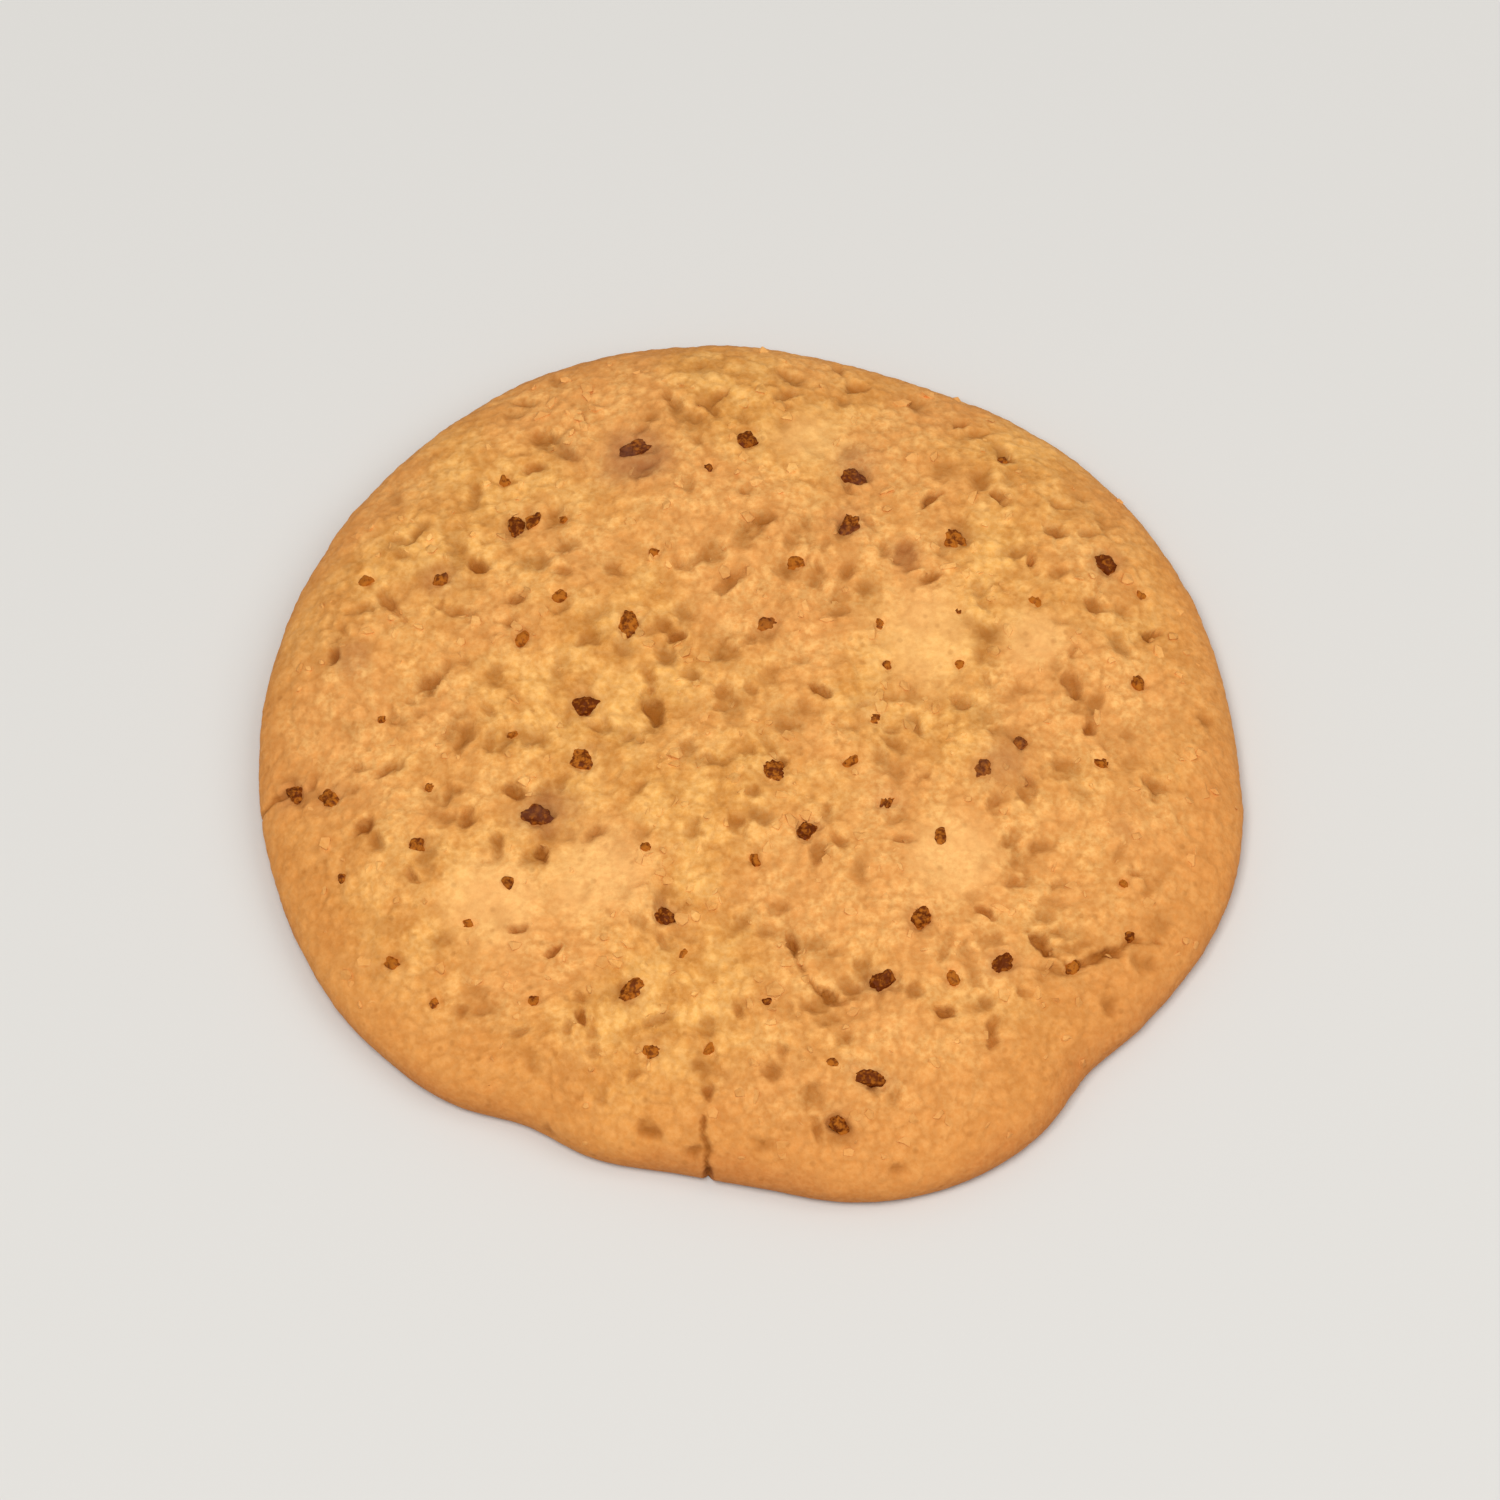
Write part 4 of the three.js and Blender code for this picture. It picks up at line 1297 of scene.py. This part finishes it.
class COOKIE_OT_crumbs(bpy.types.Operator):
    """Scatter the small crumbs that are baked into the crust"""

    bl_idname = "cookie.crumbs"
    bl_label = "Crumbs"

    def execute(self, context):
        dough, crumb = context.scene.cookie_dough, context.scene.cookie_crumb
        material = baked_material("Baked crumb", dough, paler=0.25)
        ride(scattered("crumbs", crumb, mask="crumbly", sides=1, material=material), "baked_dough")
        return {"FINISHED"}


class COOKIE_OT_studio(bpy.types.Operator):
    """Set up the pale floor, the soft lights and the camera"""

    bl_idname = "cookie.studio"
    bl_label = "Studio"

    def execute(self, context):
        scene = context.scene
        studio = scene.cookie_studio
        middle = (Vector(LOW) + Vector(HIGH)) / 2
        add_floor(scene, studio)
        add_world(scene, studio)
        over, right = Vector((-0.12, -0.3, 0.9)), Vector((0.5, -0.15, 0.75))
        add_light(scene, "Key", middle, offset=over, size=0.4, power=studio.key_power)
        add_light(scene, "Fill", middle, offset=right, size=0.7, power=studio.fill_power)
        add_camera(scene, studio, middle)
        scene.view_settings.view_transform = "Standard"
        return {"FINISHED"}


# How far the floor reaches each way, and how far under the base it lies, in metres.
FLOOR_REACH = 4
FLOOR_DROP = 0.02 * MM
# Tint of the light from all round.
SURROUNDINGS = (1, 0.99, 0.975, 1)


def add_floor(scene, studio):
    plate = bmesh.new()
    bmesh.ops.create_grid(plate, x_segments=1, y_segments=1, size=FLOOR_REACH)
    mesh = bpy.data.meshes.new("floor")
    plate.to_mesh(mesh)
    plate.free()
    mesh.transform(Matrix.Translation((0, 0, -FLOOR_DROP)))
    mesh.materials.append(floor_material("Pale floor", studio))
    floor = bpy.data.objects.new("floor", mesh)
    scene.collection.objects.link(floor)
    floor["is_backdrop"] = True


def add_world(scene, studio):
    world = bpy.data.worlds.new("Soft surroundings")
    world.use_nodes = True
    background = world.node_tree.nodes["Background"]
    background.inputs["Color"].default_value = SURROUNDINGS
    background.inputs["Strength"].default_value = studio.ambient
    scene.world = world


def add_light(scene, name, target, offset, size, power):
    """A square area light at an offset from what it is aimed at, hidden from the camera."""
    light = bpy.data.lights.new(name, "AREA")
    light.size = size
    light.energy = power
    lamp = bpy.data.objects.new(name, light)
    lamp.location = target + offset
    lamp.rotation_euler = (-offset).to_track_quat("-Z", "Y").to_euler()
    lamp.visible_camera = False
    scene.collection.objects.link(lamp)


def add_camera(scene, studio, target):
    """A long lens that looks at the cookie from the given direction and height."""
    camera = bpy.data.cameras.new("Camera")
    width = HIGH[0] - LOW[0]
    camera.lens = camera.sensor_width * studio.distance / (width / studio.filled)
    camera.clip_start = 0.01
    tripod = bpy.data.objects.new("Camera", camera)
    level = math.cos(studio.elevation)
    side, front = math.sin(studio.azimuth) * level, math.cos(studio.azimuth) * level
    back = Vector((side, -front, math.sin(studio.elevation)))
    tripod.location = target + back * studio.distance
    tripod.rotation_euler = (-back).to_track_quat("-Z", "Y").to_euler()
    scene.collection.objects.link(tripod)
    scene.camera = tripod


class COOKIE_PT_sidebar(bpy.types.Panel):
    """Buttons and sizes for the cookie"""

    bl_label = "Blueberry Cookie"
    bl_idname = "COOKIE_PT_sidebar"
    bl_space_type = "VIEW_3D"
    bl_region_type = "UI"
    bl_category = "Cookie"

    def draw(self, context):
        for operator, (name, kind) in zip(OPERATORS, SETTINGS.items()):
            box = self.layout.box()
            box.operator(operator.bl_idname)
            for setting in kind.__annotations__:
                box.prop(getattr(context.scene, name), setting)


SETTINGS = {
    "cookie_dough": DoughSettings,
    "cookie_berry": BerrySettings,
    "cookie_crumb": CrumbSettings,
    "cookie_studio": StudioSettings,
}
OPERATORS = (COOKIE_OT_dough, COOKIE_OT_berries, COOKIE_OT_crumbs, COOKIE_OT_studio)


def register():
    for name, settings in SETTINGS.items():
        bpy.utils.register_class(settings)
        setattr(bpy.types.Scene, name, bpy.props.PointerProperty(type=settings))
    for operator in OPERATORS:
        bpy.utils.register_class(operator)
    bpy.utils.register_class(COOKIE_PT_sidebar)


def unregister():
    bpy.utils.unregister_class(COOKIE_PT_sidebar)
    for operator in reversed(OPERATORS):
        bpy.utils.unregister_class(operator)
    for name, settings in SETTINGS.items():
        delattr(bpy.types.Scene, name)
        bpy.utils.unregister_class(settings)


def main():
    register()
    bpy.ops.cookie.dough()
    bpy.ops.cookie.berries()
    bpy.ops.cookie.crumbs()
    bpy.ops.cookie.studio()
    boxes = {"cad": CAD_BOX, "visual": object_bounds()}
    {name: [list(corner) for corner in box] for name, box in boxes.items()}


if __name__ == "__main__":
    main()
